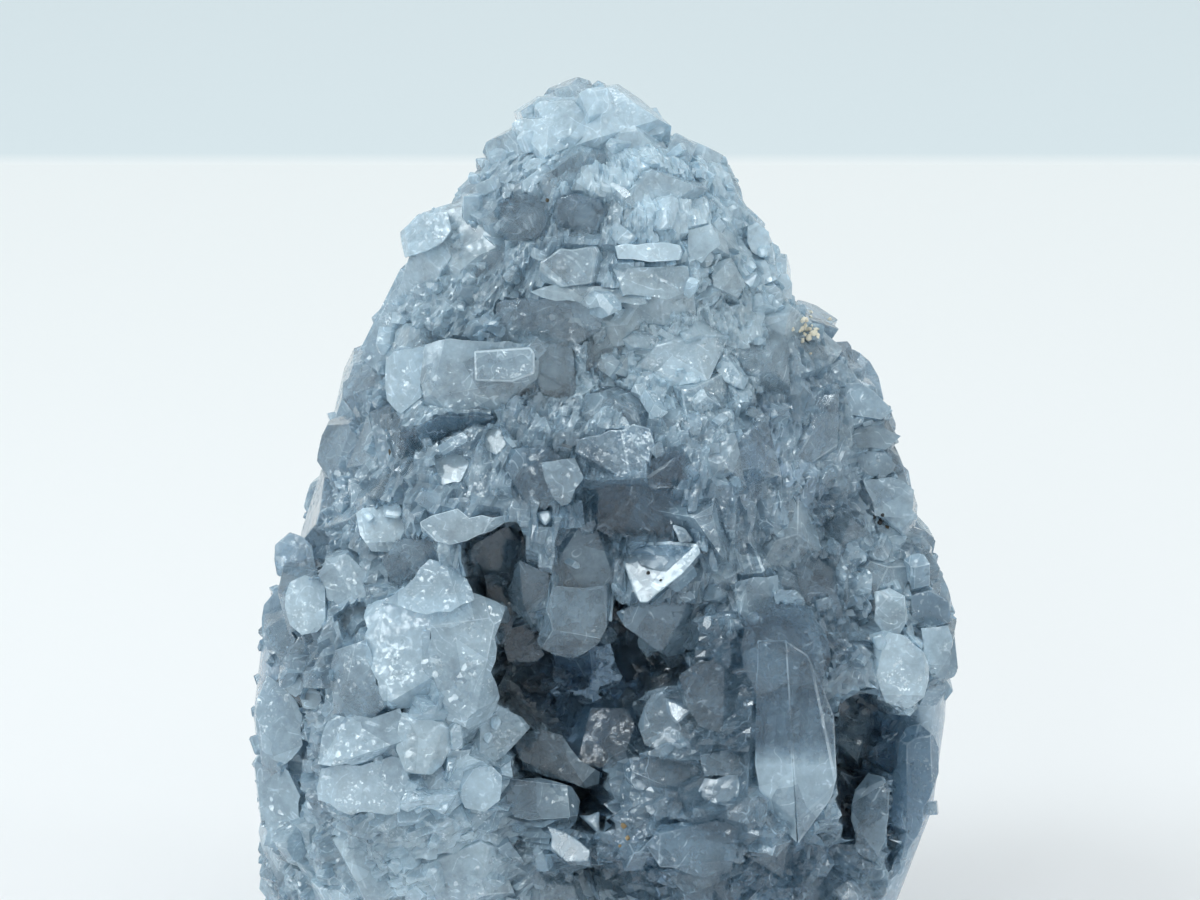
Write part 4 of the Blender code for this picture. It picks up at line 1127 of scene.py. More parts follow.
# Massive celestite that the crystals are set in
fillLook = {
    "crease": 4.4 * mm,  # creases narrower than twice this are filled
    "under": 0.45 * mm,  # how far below the crystals around it
    "shallow": 0.8 * mm,  # where less than this is filled, it sinks by up to the next amount
    "sink": 2 * mm,
    "reach": 16 * mm,
    "bare": 1.2 * mm,
    "hollowBare": 0.8,  # share of that taken away in hollows
    # over how much depth, height or side it fades out
    "hollowFade": 4 * mm,
    "footFade": 4 * mm,
    "topFade": 6 * mm,
    "sideFade": 2.5,
    "ringPacking": 0.95,  # below 1, rings lie closer toward the top
    "facetSeed": 5,
    "within": 0.95,
    "behindDrawn": 5 * mm,
    "tone": -0.1,
    "backMilk": 1.0,
    "milkier": 0.4,
    "facets": ((41, 1200, 0.26), (43, 9000, 0.34), (47, 26000, 0.40)),  # seed, how many, how steep
}


def spreadOut(heights, radius, pick):  # the highest or the lowest within a round patch of the grid
    rows, columns = heights.shape
    padded = np.pad(heights, radius, mode="edge")
    result = heights
    for row in range(2 * radius + 1):
        for column in range(2 * radius + 1):
            if math.hypot(row - radius, column - radius) < radius + 0.5:
                result = pick(result, padded[row:row + rows, column:column + columns])
    return result


def creaseFill(bases, normals, crystals):  # how far out the creases are filled, on the grid of bases
    tree = treeOf(*triangleArrays(crystals)[:2])
    reach = fillLook["reach"]
    heights = np.zeros(bases.shape[:2])
    for row in range(heights.shape[0]):
        for column in range(heights.shape[1]):
            normal = Vector(normals[row, column])
            hit = tree.ray_cast(Vector(bases[row, column]) + normal * reach, -normal, reach)
            if hit[0] is not None:
                heights[row, column] = reach - hit[3]
    cell = wallLook["height"] / heights.shape[0]
    radius = round(fillLook["crease"] / cell)
    closed = spreadOut(spreadOut(heights, radius, np.maximum), radius, np.minimum)
    filled = np.clip((closed - heights) / fillLook["shallow"], 0, 1)
    return closed - fillLook["under"] - fillLook["sink"] * (1 - filled)


def wallSolid(drawnAround, crystals):
    look = wallLook
    backSteps, frontSteps = look["backSteps"], look["frontSteps"]
    steps = [math.pi * step / backSteps for step in range(backSteps)]
    steps += [math.pi * (1 + step / frontSteps) for step in range(frontSteps)]
    packing = fillLook["ringPacking"]
    heights = [look["height"] * (ring / (look["rings"] - 1)) ** packing for ring in range(look["rings"])]
    bases = np.array([[skin(turn, height) for turn in steps] for height in heights])
    normals = np.array([[skinNormal(turn, max(height, 2 * mm)) for turn in steps] for height in heights])
    front = np.array([
        [math.sin(turn) < 0 and not onRim(Vector(base)) for turn, base in zip(steps, row)] for row in bases
    ])
    facing = np.clip(-fillLook["sideFade"] * np.sin(steps), 0, 1)[None, :]
    facing = facing * np.clip(np.array(heights) / fillLook["footFade"], 0, 1)[:, None]
    facing *= np.clip((look["height"] - np.array(heights)) / fillLook["topFade"], 0, 1)[:, None]
    hollow = np.array([
        [min(max(-swellAt(x, z) / fillLook["hollowFade"], 0), 1) for x, _, z in row] for row in bases
    ])
    fill = creaseFill(bases, normals, crystals) * (1 - hollow)
    bare = fillLook["bare"] * (1 - fillLook["hollowBare"] * hollow)
    out = np.maximum(fill, bare) * facing * front
    points = (bases + normals * out[:, :, None]).reshape(-1, 3)
    onFace = (front & (facing > 0)).ravel()
    dice = np.random.default_rng(fillLook["facetSeed"])
    lift = np.zeros(len(points))
    for seed, count, steep in fillLook["facets"]:
        noise = facetNoise(seed, dice.choice(points[onFace], count, replace=False))
        lift[onFace] += [steep * noise(point) for point in points[onFace]]
    toward = np.array(viewAxes()[2])
    points = points + normals.reshape(-1, 3) * (lift * facing.ravel())[:, None]
    over = overDrawn(points, drawnAround, fillLook["within"], fillLook["behindDrawn"])
    over = np.maximum(over, 0) * (points[:, 1] < -2 * mm) * (points[:, 2] > 1 * mm)
    points = points - over[:, None] * toward
    points[:, 2] = np.maximum(points[:, 2], 0)
    tones, milks = (np.full(len(points), fillLook[name]) for name in ("tone", "backMilk"))
    for number in np.nonzero(onFace)[0]:
        points[number] += np.array(pastOutline([Vector(points[number])]))
        tones[number], milk = regionAt(points[number])
        milks[number] = milk + fillLook["milkier"]
    count = len(steps)
    faces = []
    for ring in range(look["rings"] - 1):
        for step in range(count):
            after = (step + 1) % count
            low, high = ring * count, (ring + 1) * count
            faces.append((low + step, low + after, high + after, high + step))
    faces.append(tuple(reversed(range(count))))
    faces.append(tuple(range((look["rings"] - 1) * count, look["rings"] * count)))
    return {
        "points": points,
        "faces": faces,
        "rising": np.full(len(points), 0.4),
        "wornAndHighlight": np.zeros(len(faces)),
        "tone": tones,
        "milk": milks,
    }


# Small crystals that crowd the creases between the larger ones
smallLook = {
    "seed": 31,
    "shapes": 48,
    "tips": ("point", "point", "chisel", "blunt", "broken"),
    # as shares of the length, and thick as a share of the width
    "width": (0.36, 0.68),
    "thick": (0.6, 1.0),
    "chipDepth": 0.1,
    "edge": 0.045,
    "tries": 30000,
    "lookBack": 0.45,  # spots that look further back than this are passed over
    "lowest": 1.5 * mm,
    "spacing": 3.0 * mm,
    "length": (2.0 * mm, 5.0 * mm),
    "openLength": 0.75,  # share of the length, where it is open
    "lean": 0.7,
    "forward": 0.2,
    "sunk": 0.58,
    "past": 0.4 * mm,  # how far one may stand before a drawn crystal
    # rays tell how open a spot is, from 0 to 1
    "rays": 10,
    "rayReach": 14 * mm,
    "closed": 0.08,
    "open": {"length": 0.75, "large": 0.65, "drawn": 0.6},
    # how often one stands on the wall, on large crystals and on drawn ones, and how much more often
    # at the knob, in the creases and in the open
    "keep": {"wall": 0.4, "large": 0.12, "drawn": 0.1, "knob": 0.4, "openKnob": 0.25},
    "knob": (106, 9),  # its height and spread, in mm
}


def smallShapes():
    dice = random.Random(smallLook["seed"] + 1)
    shapes = []
    for _ in range(smallLook["shapes"]):
        width = dice.uniform(*smallLook["width"])
        thick = width * dice.uniform(*smallLook["thick"])
        tip = dice.choice(smallLook["tips"])
        shape = crystal(1, width, thick, tip, (1, 5) if dice.random() < 0.5 else (), dice)
        chipped(shape, smallLook["chipDepth"], 1, dice)
        rounded(shape, smallLook["edge"])
        shapes.append(asArrays(shape))
    return shapes


def triangleArrays(solids):
    points = np.concatenate([solid["points"] for solid in solids])
    triangles, owners = [], []
    start = 0
    for number, solid in enumerate(solids):
        for face in solid["faces"]:
            for corner in range(1, len(face) - 1):
                triangles.append((start + face[0], start + face[corner], start + face[corner + 1]))
                owners.append(number)
        start += len(solid["points"])
    return points, np.array(triangles), np.array(owners)


def treeOf(points, triangles):  # for rays to meet
    return BVHTree.FromPolygons([Vector(p) for p in points], triangles.tolist(), epsilon=0)


def keptShare(owner, drawnFrom, openness, height):  # how often a small crystal stands at such a spot
    often, opened = smallLook["keep"], smallLook["open"]
    if owner == 0:
        return often["wall"]
    if owner >= drawnFrom:
        return 0.0 if openness > opened["drawn"] else often["drawn"]
    middle, spread = smallLook["knob"]
    knob = math.exp(-((height / mm - middle) / spread) ** 2)
    if openness > opened["large"]:
        return often["openKnob"] * knob
    return often["large"] + often["knob"] * knob


def smallCrystals(under, drawnFrom, drawnAround):
    dice = random.Random(smallLook["seed"])
    points, triangles, owners = triangleArrays(under)
    tree = treeOf(points, triangles)
    a, b, c = (points[triangles[:, corner]] for corner in range(3))
    cross = np.cross(b - a, c - a)
    areas = np.linalg.norm(cross, axis=1) / 2
    normals = cross / np.maximum(2 * areas[:, None], 1e-12)
    front = (normals[:, 1] < smallLook["lookBack"]) & (areas > 0)
    share = np.where(front, areas, 0)
    numpyDice = np.random.default_rng(smallLook["seed"])
    picks = numpyDice.choice(len(triangles), size=smallLook["tries"], p=share / share.sum())
    spread = numpyDice.random((smallLook["tries"], 2))
    shapes = smallShapes()
    cells = {}
    size = smallLook["spacing"]
    solids = []
    for number, pick in enumerate(picks):
        u, v = spread[number]
        if u + v > 1:
            u, v = 1 - u, 1 - v
        spot = Vector(a[pick] + (b[pick] - a[pick]) * u + (c[pick] - a[pick]) * v)
        if spot.z < smallLook["lowest"] or onRim(spot) and spot.x > 0 and spot.y > -8 * mm:
            continue
        if spot.y > 0.5 * reachAt(min(spot.z, wallLook["height"]))[3]:
            continue
        cell = tuple(int(math.floor(value / size)) for value in spot)
        near = [
            other
            for dx in (-1, 0, 1) for dy in (-1, 0, 1) for dz in (-1, 0, 1)
            for other in cells.get((cell[0] + dx, cell[1] + dy, cell[2] + dz), ())
        ]
        if any((spot - other).length < size for other in near):
            continue
        normal = Vector(normals[pick])
        start = spot + normal * 0.05 * mm
        openness = 0
        for _ in range(smallLook["rays"]):
            way = Vector([dice.gauss(0, 1) for _ in range(3)]).normalized() + normal
            if tree.ray_cast(start, way.normalized(), smallLook["rayReach"])[0] is None:
                openness += 1
        openness /= smallLook["rays"]
        if openness < smallLook["closed"]:
            continue
        if dice.random() > keptShare(owners[pick], drawnFrom, openness, spot.z):
            continue
        cells.setdefault(cell, []).append(spot)
        length = dice.uniform(*smallLook["length"])
        if openness > smallLook["open"]["length"]:
            length *= smallLook["openLength"]
        axis = normal + Vector([dice.gauss(0, smallLook["lean"]) for _ in range(3)])
        axis = Vector((axis.x, axis.y - smallLook["forward"], axis.z)).normalized()
        matrix = aimed(spot, axis, dice.uniform(0, math.tau), length, smallLook["sunk"])
        turned = np.array(matrix.to_3x3()) * length
        shapePoints, shapeFaces, shapeWorn = dice.choice(shapes)
        placedPoints = shapePoints @ turned.T + np.array(matrix.translation)
        if placedPoints[:, 2].min() < 0:
            continue
        over = pastOutline([Vector(p) for p in placedPoints])
        placedPoints = placedPoints + np.array(over)
        onDrawn = owners[pick] >= drawnFrom
        if not onDrawn and overDrawn(placedPoints, drawnAround).max() > smallLook["past"]:
            continue
        tone, milk = variedAt(spot, dice)
        solids.append({
            "points": placedPoints,
            "faces": shapeFaces,
            "wornAndHighlight": shapeWorn,
            "rising": shapePoints[:, 2].clip(0, 1),
            "tone": tone,
            "milk": milk,
        })
    return solids


def rgb(red, green, blue):
    return (red, green, blue, 1)


# Grains of dirt that lie on the face: spot in the camera's frame, width in mm, and how pale
dirtLook = {
    "seed": 71,
    "grains": (
        (880, 522, 0.8, 0.0), (874, 517, 0.5, 0.0), (887, 527, 0.5, 0.1), (883, 515, 0.4, 0.0),
        (391, 452, 0.7, 0.1), (624, 826, 0.6, 0.45), (628, 838, 0.5, 0.5), (620, 846, 0.4, 0.45),
        (648, 573, 0.4, 0.0), (661, 580, 0.3, 0.0), (548, 200, 0.5, 0.1),
    ),
    # a cluster of them: its middle and spread in the frame, and their widths
    "crumbs": {"count": 34, "column": 811, "row": 328, "wide": 7, "high": 9, "width": (0.25, 0.7)},
    # shape of a grain, as shares of its width, and how much it strays from facing the eye
    "length": 1.2,
    "flatness": (0.6, 0.9),
    "chipDepth": 0.2,
    "edge": 0.06,
    "sunk": 0.3,
    "stray": 0.6,
    "roughness": 0.6,
    "dark": rgb(0.02, 0.02, 0.02),
    "brown": rgb(0.30, 0.22, 0.11),
    "pale": rgb(0.85, 0.82, 0.70),
}


def dirtGrains(under):
    dice = random.Random(dirtLook["seed"])
    tree = treeOf(*triangleArrays(under)[:2])
    toward = viewAxes()[2]
    solids = []
    crumbs = dirtLook["crumbs"]
    grains = list(dirtLook["grains"])
    for _ in range(crumbs["count"]):
        column = dice.gauss(crumbs["column"], crumbs["wide"])
        row = dice.gauss(crumbs["row"], crumbs["high"])
        grains.append((column, row, dice.uniform(*crumbs["width"]), dice.uniform(0.8, 1.0)))
    for column, row, width, pale in grains:
        start = seenAt(column, row, 100 * mm)
        way = (seenAt(column, row, 0) - start).normalized()
        spot = tree.ray_cast(start, way)[0]
        if spot is None:
            continue
        size = width * mm
        length = size * dirtLook["length"]
        thick = size * dice.uniform(*dirtLook["flatness"])
        shape = crystal(length, size, thick, "blunt", (1, 5), dice)
        axis = (toward + Vector([dice.gauss(0, dirtLook["stray"]) for _ in range(3)])).normalized()
        keptInside(shape, aimed(spot, axis, dice.uniform(0, math.tau), length, dirtLook["sunk"]))
        chipped(shape, size * dirtLook["chipDepth"], 3, dice)
        rounded(shape, size * dirtLook["edge"])
        grain = solidOf(shape, spot, spot + axis * size, dice)
        grain["tone"] = pale
        solids.append(grain)
    return solids


# A socket that takes part in plain arithmetic
class Value:
    def __init__(self, maker, socket):
        self.maker = maker
        self.socket = socket

    def combine(self, kind, first, second):
        return self.maker.node("ShaderNodeMath", {"operation": kind}, (first, second))

    def __add__(self, other):
        return self.combine("ADD", self, other)

    def __radd__(self, other):
        return self.combine("ADD", other, self)

    def __sub__(self, other):
        return self.combine("SUBTRACT", self, other)

    def __rsub__(self, other):
        return self.combine("SUBTRACT", other, self)

    def __mul__(self, other):
        return self.combine("MULTIPLY", self, other)

    def __rmul__(self, other):
        return self.combine("MULTIPLY", other, self)

    def other(self, out):
        return Value(self.maker, self.socket.node.outputs[out])

    def size(self):
        return self.maker.node("ShaderNodeMath", {"operation": "ABSOLUTE"}, (self,))

    def kept(self, low=0.0, high=1.0):
        return self.spread(low, high, low, high)

    def spread(self, fromLow, fromHigh, low=0.0, high=1.0):
        return self.maker.node(
            "ShaderNodeMapRange", {"clamp": True},
            {"Value": self, 1: fromLow, 2: fromHigh, 3: low, 4: high},
        )


class Maker:
    def __init__(self, name):
        self.material = bpy.data.materials.new(name)
        self.material.use_nodes = True
        self.tree = self.material.node_tree
        self.tree.nodes.clear()
        self.output = self.tree.nodes.new("ShaderNodeOutputMaterial")

    def node(self, kind, settings, values, out=0):
        made = self.tree.nodes.new(kind)
        for name, setting in settings.items():
            setattr(made, name, setting)
        pairs = values.items() if isinstance(values, dict) else enumerate(values)
        for name, value in pairs:
            socket = made.inputs[name]
            if isinstance(value, Value):
                self.tree.links.new(value.socket, socket)
            else:
                socket.default_value = value
        return Value(self, made.outputs[out])

    def noise(self, where, scale, detail, rough, distortion=0.0):
        return self.node("ShaderNodeTexNoise", {}, {
            "Vector": where, "Scale": scale, "Detail": detail, "Roughness": rough, "Distortion": distortion,
        })

    def attribute(self, name):
        return self.node("ShaderNodeAttribute", {"attribute_name": name}, {}, 2)

    def mixed(self, share, first, second):
        values = {0: share, 6: first, 7: second}
        return self.node("ShaderNodeMix", {"data_type": "RGBA"}, values, 2)

    def finishWith(self, surface, volume=None):
        self.tree.links.new(surface.socket, self.output.inputs["Surface"])
        if volume:
            self.tree.links.new(volume.socket, self.output.inputs["Volume"])
        return self.material


celestiteLook = {
    "glintTilt": lampTilt,  # of the facets that glint
    "glintStray": 0.16,  # how far their normals stray from that
    "ior": 1.3,
    "clearTint": rgb(0.86, 0.955, 1.0),
    "milkLight": rgb(0.71, 0.89, 1.0),
    "milkDeep": rgb(0.075, 0.19, 0.31),
    # pale colour that edges, milky veins and painted glints take: the edges partly abraded, partly a painted
    # highlight
    "wornAndHighlight": rgb(0.82, 0.90, 0.95),
    "absorbed": rgb(0.33, 0.58, 0.82),
    "density": 22.0,
    "roughClear": 0.06,
    "roughMilk": 0.12,
    "coat": 0.8,
    "coatIor": 1.62,
    "coatRoughness": 0.04,
    # how much rougher broken patches and fine grain make it, and within what range
    "roughBroken": 0.1,
    "roughFine": 0.25,
    "roughClearRange": (0.02, 0.4),
    "roughMilkRange": (0.04, 0.6),
    "milkyRange": (0.04, 0.95),
    "wornAndHighlightShare": {"wornAndHighlitEdges": 0.5, "veins": 0.4, "paintedGlintSpecks": 0.9},  # how much each takes that pale colour
    # how milky it is, and how much the region, the clouds, blocks and so on add to that
    "milky": {
        "base": 0.42, "region": 0.2, "clouds": 0.6, "fine": 0.5, "blocks": 0.17,
        "veins": 0.3, "wornAndHighlitEdges": 0.3, "frost": 0.35, "rising": -0.15, "paintedGlintSpecks": 0.3,
    },
    # how light the milky part is
    "light": {
        "base": 0.56, "region": 0.42, "clouds": 0.35, "blocks": 0.13, "chips": 0.4,
        "frost": 0.4, "rising": 0.2,
    },
    "grain": 0.25,
    "chipLean": 0.7,
    "chipsElsewhere": 0.15,  # how much the chips lean outside broken patches
    "blockLean": 0.16,
    # how fine each pattern is
    "scale": {
        "clouds": 90, "fine": 700, "bent": 170, "blocks": 190, "chips": 1700, "grit": 4200, "grain": 420,
    },
    "acrossStretch": (1.0, 1.0, 2.6),  # of the grain
    # from and to which value of its pattern, or of the thing it depends on, each one shows
    "shows": {
        "veins": (0.0, 0.012, 1.0, 0.0), "veinBreaks": (0.45, 0.6), "broken": (0.50, 0.64),
        "patches": (0.02, 0.12, 0.0, 1.0), "patchClouds": (-0.12, 0.10), "paintedGlintSpecks": (0.34, 0.38),
        "milkForPaintedGlints": (0.0, 0.8, 0.1, 1.0), "wornAndHighlitEdges": (-0.05, 0.25), "frost": (0.42, 0.52),
        "lampFacing": (0.42, 0.44), "milkGlints": (-0.25, -0.2, 0.0, 1.0),
        "flakes": (0.40, 0.41), "flakePatches": (0.55, 0.555),
        "strokes": (0.60, 0.602), "strokeEnds": (0.635, 0.637), "strokeBreaks": (0.02, 0.03),
        "strokePatches": (0.50, 0.505),
        "dust": (0.10, 0.11), "dustPatches": (0.40, 0.42), "dustBreaks": (0.0, 0.01),
    },
    "through": 0.2,  # share of the milky part that lets light through
    "glow": rgb(0.55, 0.75, 0.90),
}


def vectorMath(make, operation, values, out=0):
    return make.node("ShaderNodeVectorMath", {"operation": operation}, values, out)


def facets(make, where, scale):  # small tilted faces: their lean, and a number for each
    cells = make.node("ShaderNodeTexVoronoi", {}, {"Vector": where, "Scale": scale}, 1)
    lean = vectorMath(make, "SUBTRACT", (cells, (0.5, 0.5, 0.5)))
    return lean, make.node("ShaderNodeSeparateXYZ", {}, {0: lean})


def scaled(make, vector, amount):
    return vectorMath(make, "SCALE", {0: vector, 3: amount})


def leaned(make, parts):  # the surface's normal, leaned by each vector as much as its amount
    normal = make.node("ShaderNodeNewGeometry", {}, {}, 1)
    for lean, amount in parts:
        normal = vectorMath(make, "ADD", (normal, scaled(make, lean, amount)))
    return vectorMath(make, "NORMALIZE", (normal,))


def celestiteMaterial(name):
    look = celestiteLook
    milky, light, shows, scale = look["milky"], look["light"], look["shows"], look["scale"]
    make = Maker(name)
    where = make.node("ShaderNodeTexCoord", {}, {}, 3)
    clouds = make.noise(where, scale["clouds"], 2, 0.55) - 0.5
    fine = make.noise(where, scale["fine"], 3, 0.65)
    bent = make.noise(where, scale["bent"], 2, 0.6, 0.6)
    # milky veins, as of healed cracks
    veins = (bent - 0.5).size().spread(*shows["veins"]) * fine.spread(*shows["veinBreaks"])
    # cleavage blocks, and rough broken patches of small tilted facets
    blockLean, blocks = facets(make, where, scale["blocks"])
    chipLean, chips = facets(make, where, scale["chips"])
    grainLean = vectorMath(make, "SUBTRACT", (fine.other("Color"), (0.5, 0.5, 0.5)))
    fine = fine - 0.5
    broken = bent.spread(*shows["broken"])
    tone = make.attribute("tone")
    milk = make.attribute("milk")
    _, grit = facets(make, where, scale["grit"])
    # broken edges that run across, as cleavage does
    stretched = vectorMath(make, "MULTIPLY", (where, look["acrossStretch"]))
    grain = make.noise(stretched, scale["grain"], 1, 0.5, 0.4)
    patches = (bent - 0.5).size().spread(*shows["patches"]) * clouds.spread(*shows["patchClouds"])
    # tiny white flecks painted into the colour and milkiness: painted glints
    paintedGlintSpecks = grit.spread(*shows["paintedGlintSpecks"]) * patches * milk.spread(*shows["milkForPaintedGlints"])
    rising = make.attribute("rising")
    wornAndHighlight = make.attribute("wornAndHighlight")
    # rounded edges paler and milkier: partly abraded, partly a painted highlight along the edges
    wornAndHighlitEdges = (wornAndHighlight * clouds.spread(*shows["wornAndHighlitEdges"]) + (wornAndHighlight - 1).kept()).kept()
    frost = make.attribute("frost") * rising.spread(*shows["frost"])
    milkiness = (
        milky["base"] + milky["region"] * milk + milky["clouds"] * clouds + milky["fine"] * fine
        + milky["blocks"] * blocks + milky["veins"] * veins + milky["wornAndHighlitEdges"] * wornAndHighlitEdges
        + milky["frost"] * frost + milky["rising"] * (rising - 0.5) + milky["paintedGlintSpecks"] * paintedGlintSpecks
    ).kept(*look["milkyRange"])
    lightness = (
        light["base"] + light["region"] * tone + light["clouds"] * clouds + light["blocks"] * blocks
        + light["chips"] * chips * broken + light["frost"] * frost + light["rising"] * (rising - 0.5)
    ).kept()
    milkColour = make.mixed(lightness, look["milkDeep"], look["milkLight"])
    share = look["wornAndHighlightShare"]
    # paler at the edges, along milky veins and at the painted glints
    whitened = wornAndHighlitEdges * share["wornAndHighlitEdges"] + veins * share["veins"] + paintedGlintSpecks * share["paintedGlintSpecks"]
    milkColour = make.mixed(whitened.kept(), milkColour, look["wornAndHighlight"])
    normal = leaned(make, (
        (grainLean, look["grain"]),
        (chipLean, (look["chipsElsewhere"] + broken) * look["chipLean"]),
        (blockLean, look["blockLean"]),
    ))
    right, above, toward = viewAxes()
    lamp = (right * look["glintTilt"][0] + above * look["glintTilt"][1] + toward).normalized()
    facing = vectorMath(make, "DOT_PRODUCT", (normal, lamp), 1).spread(*shows["lampFacing"])
    # thin bright edges and specks, where the face looks nearly at the lamp
    glinting = milk.spread(*shows["milkGlints"]) * facing
    flakes = chips.spread(*shows["flakes"]) * bent.spread(*shows["flakePatches"])
    strokes = grain.spread(*shows["strokes"]) * (1 - grain.spread(*shows["strokeEnds"]))
    strokes = strokes * fine.spread(*shows["strokeBreaks"]) * bent.spread(*shows["strokePatches"])
    dust = grit.spread(*shows["dust"]) * patches.spread(*shows["dustPatches"])
    dust = dust * fine.spread(*shows["dustBreaks"])
    glint = (flakes + dust + strokes).kept() * glinting
    stray = scaled(make, vectorMath(make, "ADD", (chipLean, grainLean)), look["glintStray"])
    strayed = vectorMath(make, "ADD", (lamp, stray))
    normal = vectorMath(make, "ADD", (scaled(make, normal, 1 - glint), scaled(make, strayed, glint)))
    normal = vectorMath(make, "NORMALIZE", (normal,))
    clear = make.node("ShaderNodeBsdfPrincipled", {}, {
        "Base Color": look["clearTint"],
        "Roughness": (look["roughClear"] + broken * look["roughBroken"]).kept(*look["roughClearRange"]),
        "IOR": look["ior"],
        "Transmission Weight": 1.0,
        "Coat Weight": look["coat"],
        "Coat Roughness": look["coatRoughness"],
        "Coat IOR": look["coatIor"],
        "Normal": normal,
    })
    solid = make.node("ShaderNodeBsdfPrincipled", {}, {
        "Base Color": milkColour,
        "Roughness": (look["roughMilk"] + fine * look["roughFine"]).kept(*look["roughMilkRange"]),
        "IOR": look["coatIor"],
        "Normal": normal,
    })
    glow = make.node("ShaderNodeBsdfTranslucent", {}, {"Color": look["glow"]})
    solid = make.node("ShaderNodeMixShader", {}, {0: look["through"], 1: solid, 2: glow})
    surface = make.node("ShaderNodeMixShader", {}, {0: milkiness, 1: clear, 2: solid})
    volume = make.node(
        "ShaderNodeVolumeAbsorption", {}, {"Color": look["absorbed"], "Density": look["density"]}
    )
    return make.finishWith(surface, volume)


def dirtMaterial(name):
    make = Maker(name)
    tone = make.attribute("tone")
    colour = make.mixed(tone.spread(0.0, 0.5), dirtLook["dark"], dirtLook["brown"])
    colour = make.mixed(tone.spread(0.5, 1.0), colour, dirtLook["pale"])
    surface = make.node("ShaderNodeBsdfPrincipled", {}, {
        "Base Color": colour, "Roughness": dirtLook["roughness"],
    })
    return make.finishWith(surface)


stageLook = {
    "floor": rgb(0.825, 0.82, 0.83),
    # the floor is painted lighter toward the back: a painted light falloff
    "floorFarPaintedLight": rgb(0.885, 0.905, 0.91),
    "backdrop": rgb(0.72, 0.79, 0.82),
    "backdropAt": 508 * mm,
    "bend": 1.0 * mm,
    "slope": math.radians(8),
    "reach": 2.5,
    "roughness": 0.9,
    "specular": 0.1,
}


def stageSheet():  # floor that rises into a backdrop, low enough for a camera behind the piece
    look = stageLook
    profile = (
        (-look["reach"], 0.0), (look["backdropAt"], 0.0),
        (look["reach"], (look["reach"] - look["backdropAt"]) * math.tan(look["slope"])),
    )
    shape = bmesh.new()
    rows = [[shape.verts.new((side * look["reach"], y, z)) for side in (-1, 1)] for y, z in profile]
    for first, second in zip(rows, rows[1:]):
        shape.faces.new((first[0], first[1], second[1], second[0]))
    mesh = bpy.data.meshes.new("stage_sheet")
    shape.to_mesh(mesh)
    shape.free()
    make = Maker("stage_paper")
    where = make.node("ShaderNodeTexCoord", {}, {}, 3)
    away = make.node("ShaderNodeSeparateXYZ", {}, {0: where}, 1)
    height = make.node("ShaderNodeSeparateXYZ", {}, {0: where}, 2)
    # lighter toward the back: painted light falloff
    floor = make.mixed(away.spread(0.0, look["backdropAt"]), look["floor"], look["floorFarPaintedLight"])
    colour = make.mixed(height.spread(0.0, look["bend"]), floor, look["backdrop"])
    surface = make.node("ShaderNodeBsdfPrincipled", {}, {
        "Base Color": colour, "Roughness": look["roughness"], "Specular IOR Level": look["specular"],
    })
    mesh.materials.append(make.finishWith(surface))
    sheet = bpy.data.objects.new("stage_sheet", mesh)
    bpy.context.scene.collection.objects.link(sheet)


lightLook = {
    "world": (0.94, 0.99, 1.0),
    "worldStrength": 0.82,
    "lamp": (0.89, 0.97, 1.0),
    "aimedAt": (0, 0, 0.05),
    # name, place, size, energy
    "lamps": (
        ("key", (-0.40, -0.30, 0.70), 0.21, 1.72),
        ("front", (-0.22, -0.80, 0.50), 0.13, 0.6),
        ("right", (0.65, -0.25, 0.40), 0.14, 0.45),
        ("left", (-0.75, -0.20, 0.25), 0.14, 0.45),
        ("top", (0.05, 0.15, 0.85), 0.16, 0.8),
    ),
}


def lights():
    world = bpy.data.worlds.new("studio")
    world.use_nodes = True
    background = world.node_tree.nodes["Background"]
    background.inputs["Color"].default_value = (*lightLook["world"], 1)
    background.inputs["Strength"].default_value = lightLook["worldStrength"]
    bpy.context.scene.world = world
    for name, place, size, energy in lightLook["lamps"]:
        light = bpy.data.lights.new(name, "AREA")
        light.size = size
        light.energy = energy
        light.color = lightLook["lamp"]
        lamp = bpy.data.objects.new(name, light)
        bpy.context.scene.collection.objects.link(lamp)
        lamp.location = place
        away = Vector(place) - Vector(lightLook["aimedAt"])
        lamp.rotation_euler = away.to_track_quat("Z", "Y").to_euler()


cameraLook = {
    "aside": -0.65 * mm,
    "up": 67.9 * mm,
    "seenWidth": 156 * mm,
    "sensor": 36.0,
}


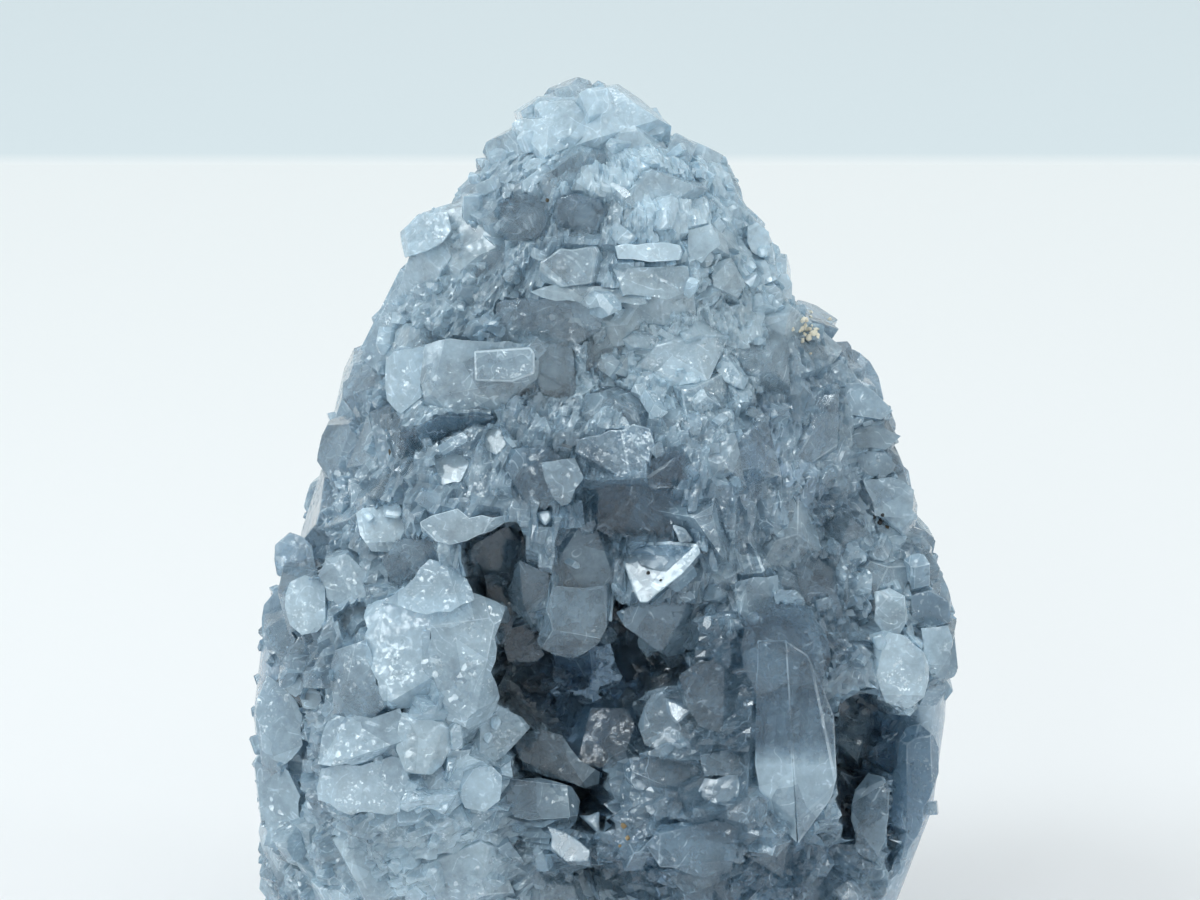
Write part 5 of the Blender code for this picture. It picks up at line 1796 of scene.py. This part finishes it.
def camera():
    right, up, toward = viewAxes()
    target = right * cameraLook["aside"] + up * cameraLook["up"] + Vector((0, moveBy.y, 0))
    data = bpy.data.cameras.new("photo_camera")
    data.sensor_width = cameraLook["sensor"]
    data.lens = cameraLook["sensor"] * eye["distance"] / cameraLook["seenWidth"]
    data.clip_start = 0.01
    seen = bpy.data.objects.new("photo_camera", data)
    seen.location = target + toward * eye["distance"]
    seen.rotation_euler = toward.to_track_quat("Z", "Y").to_euler()
    bpy.context.scene.collection.objects.link(seen)
    bpy.context.scene.camera = seen


renderLook = {
    "use_denoising": True,
    "max_bounces": 10,
    "transmission_bounces": 8,
    "diffuse_bounces": 3,
    "glossy_bounces": 2,
    "adaptive_threshold": 0.1,
    "adaptive_min_samples": 16,
    "sample_clamp_indirect": 4,
    "caustics_reflective": False,
}


def renderSettings():
    bpy.context.scene.view_settings.view_transform = "Standard"
    for name, value in renderLook.items():
        setattr(bpy.context.scene.cycles, name, value)


drawnAround = drawnShapes()
large, taken = largeCrystals(drawnAround)
print("large crystals:", len(large))
face = faceCrystals(taken, drawnAround)
print("face crystals:", len(face))
drawn = drawnCrystals()
print("drawn crystals:", len(drawn))
wall = wallSolid(drawnAround, large + face + drawn)
print("wall:", len(wall["faces"]), "faces")
small = smallCrystals([wall] + large + face + drawn, 1 + len(large) + len(face), drawnAround)
print("small crystals:", len(small))

grains = dirtGrains([wall] + large + face + drawn + small)
print("grains of dirt:", len(grains))

crystalMaterial = celestiteMaterial("celestite_crystal")
joinedPiece("dirt_grains", grains, dirtMaterial("dirt"))
joinedPiece("geode_wall", [wall], crystalMaterial)
joinedPiece("large_crystals", large, crystalMaterial)
joinedPiece("face_crystals", face, crystalMaterial)
joinedPiece("drawn_crystals", drawn, crystalMaterial)
half = len(small) // 2
joinedPiece("small_crystals_a", small[:half], crystalMaterial)
joinedPiece("small_crystals_b", small[half:], crystalMaterial)
for piece in bpy.data.objects:
    if piece.type == "MESH":
        print(piece.name, sum(len(p.vertices) - 2 for p in piece.data.polygons), "triangles")

stageSheet()
lights()
camera()
renderSettings()
print("stage, lights and camera are in place")
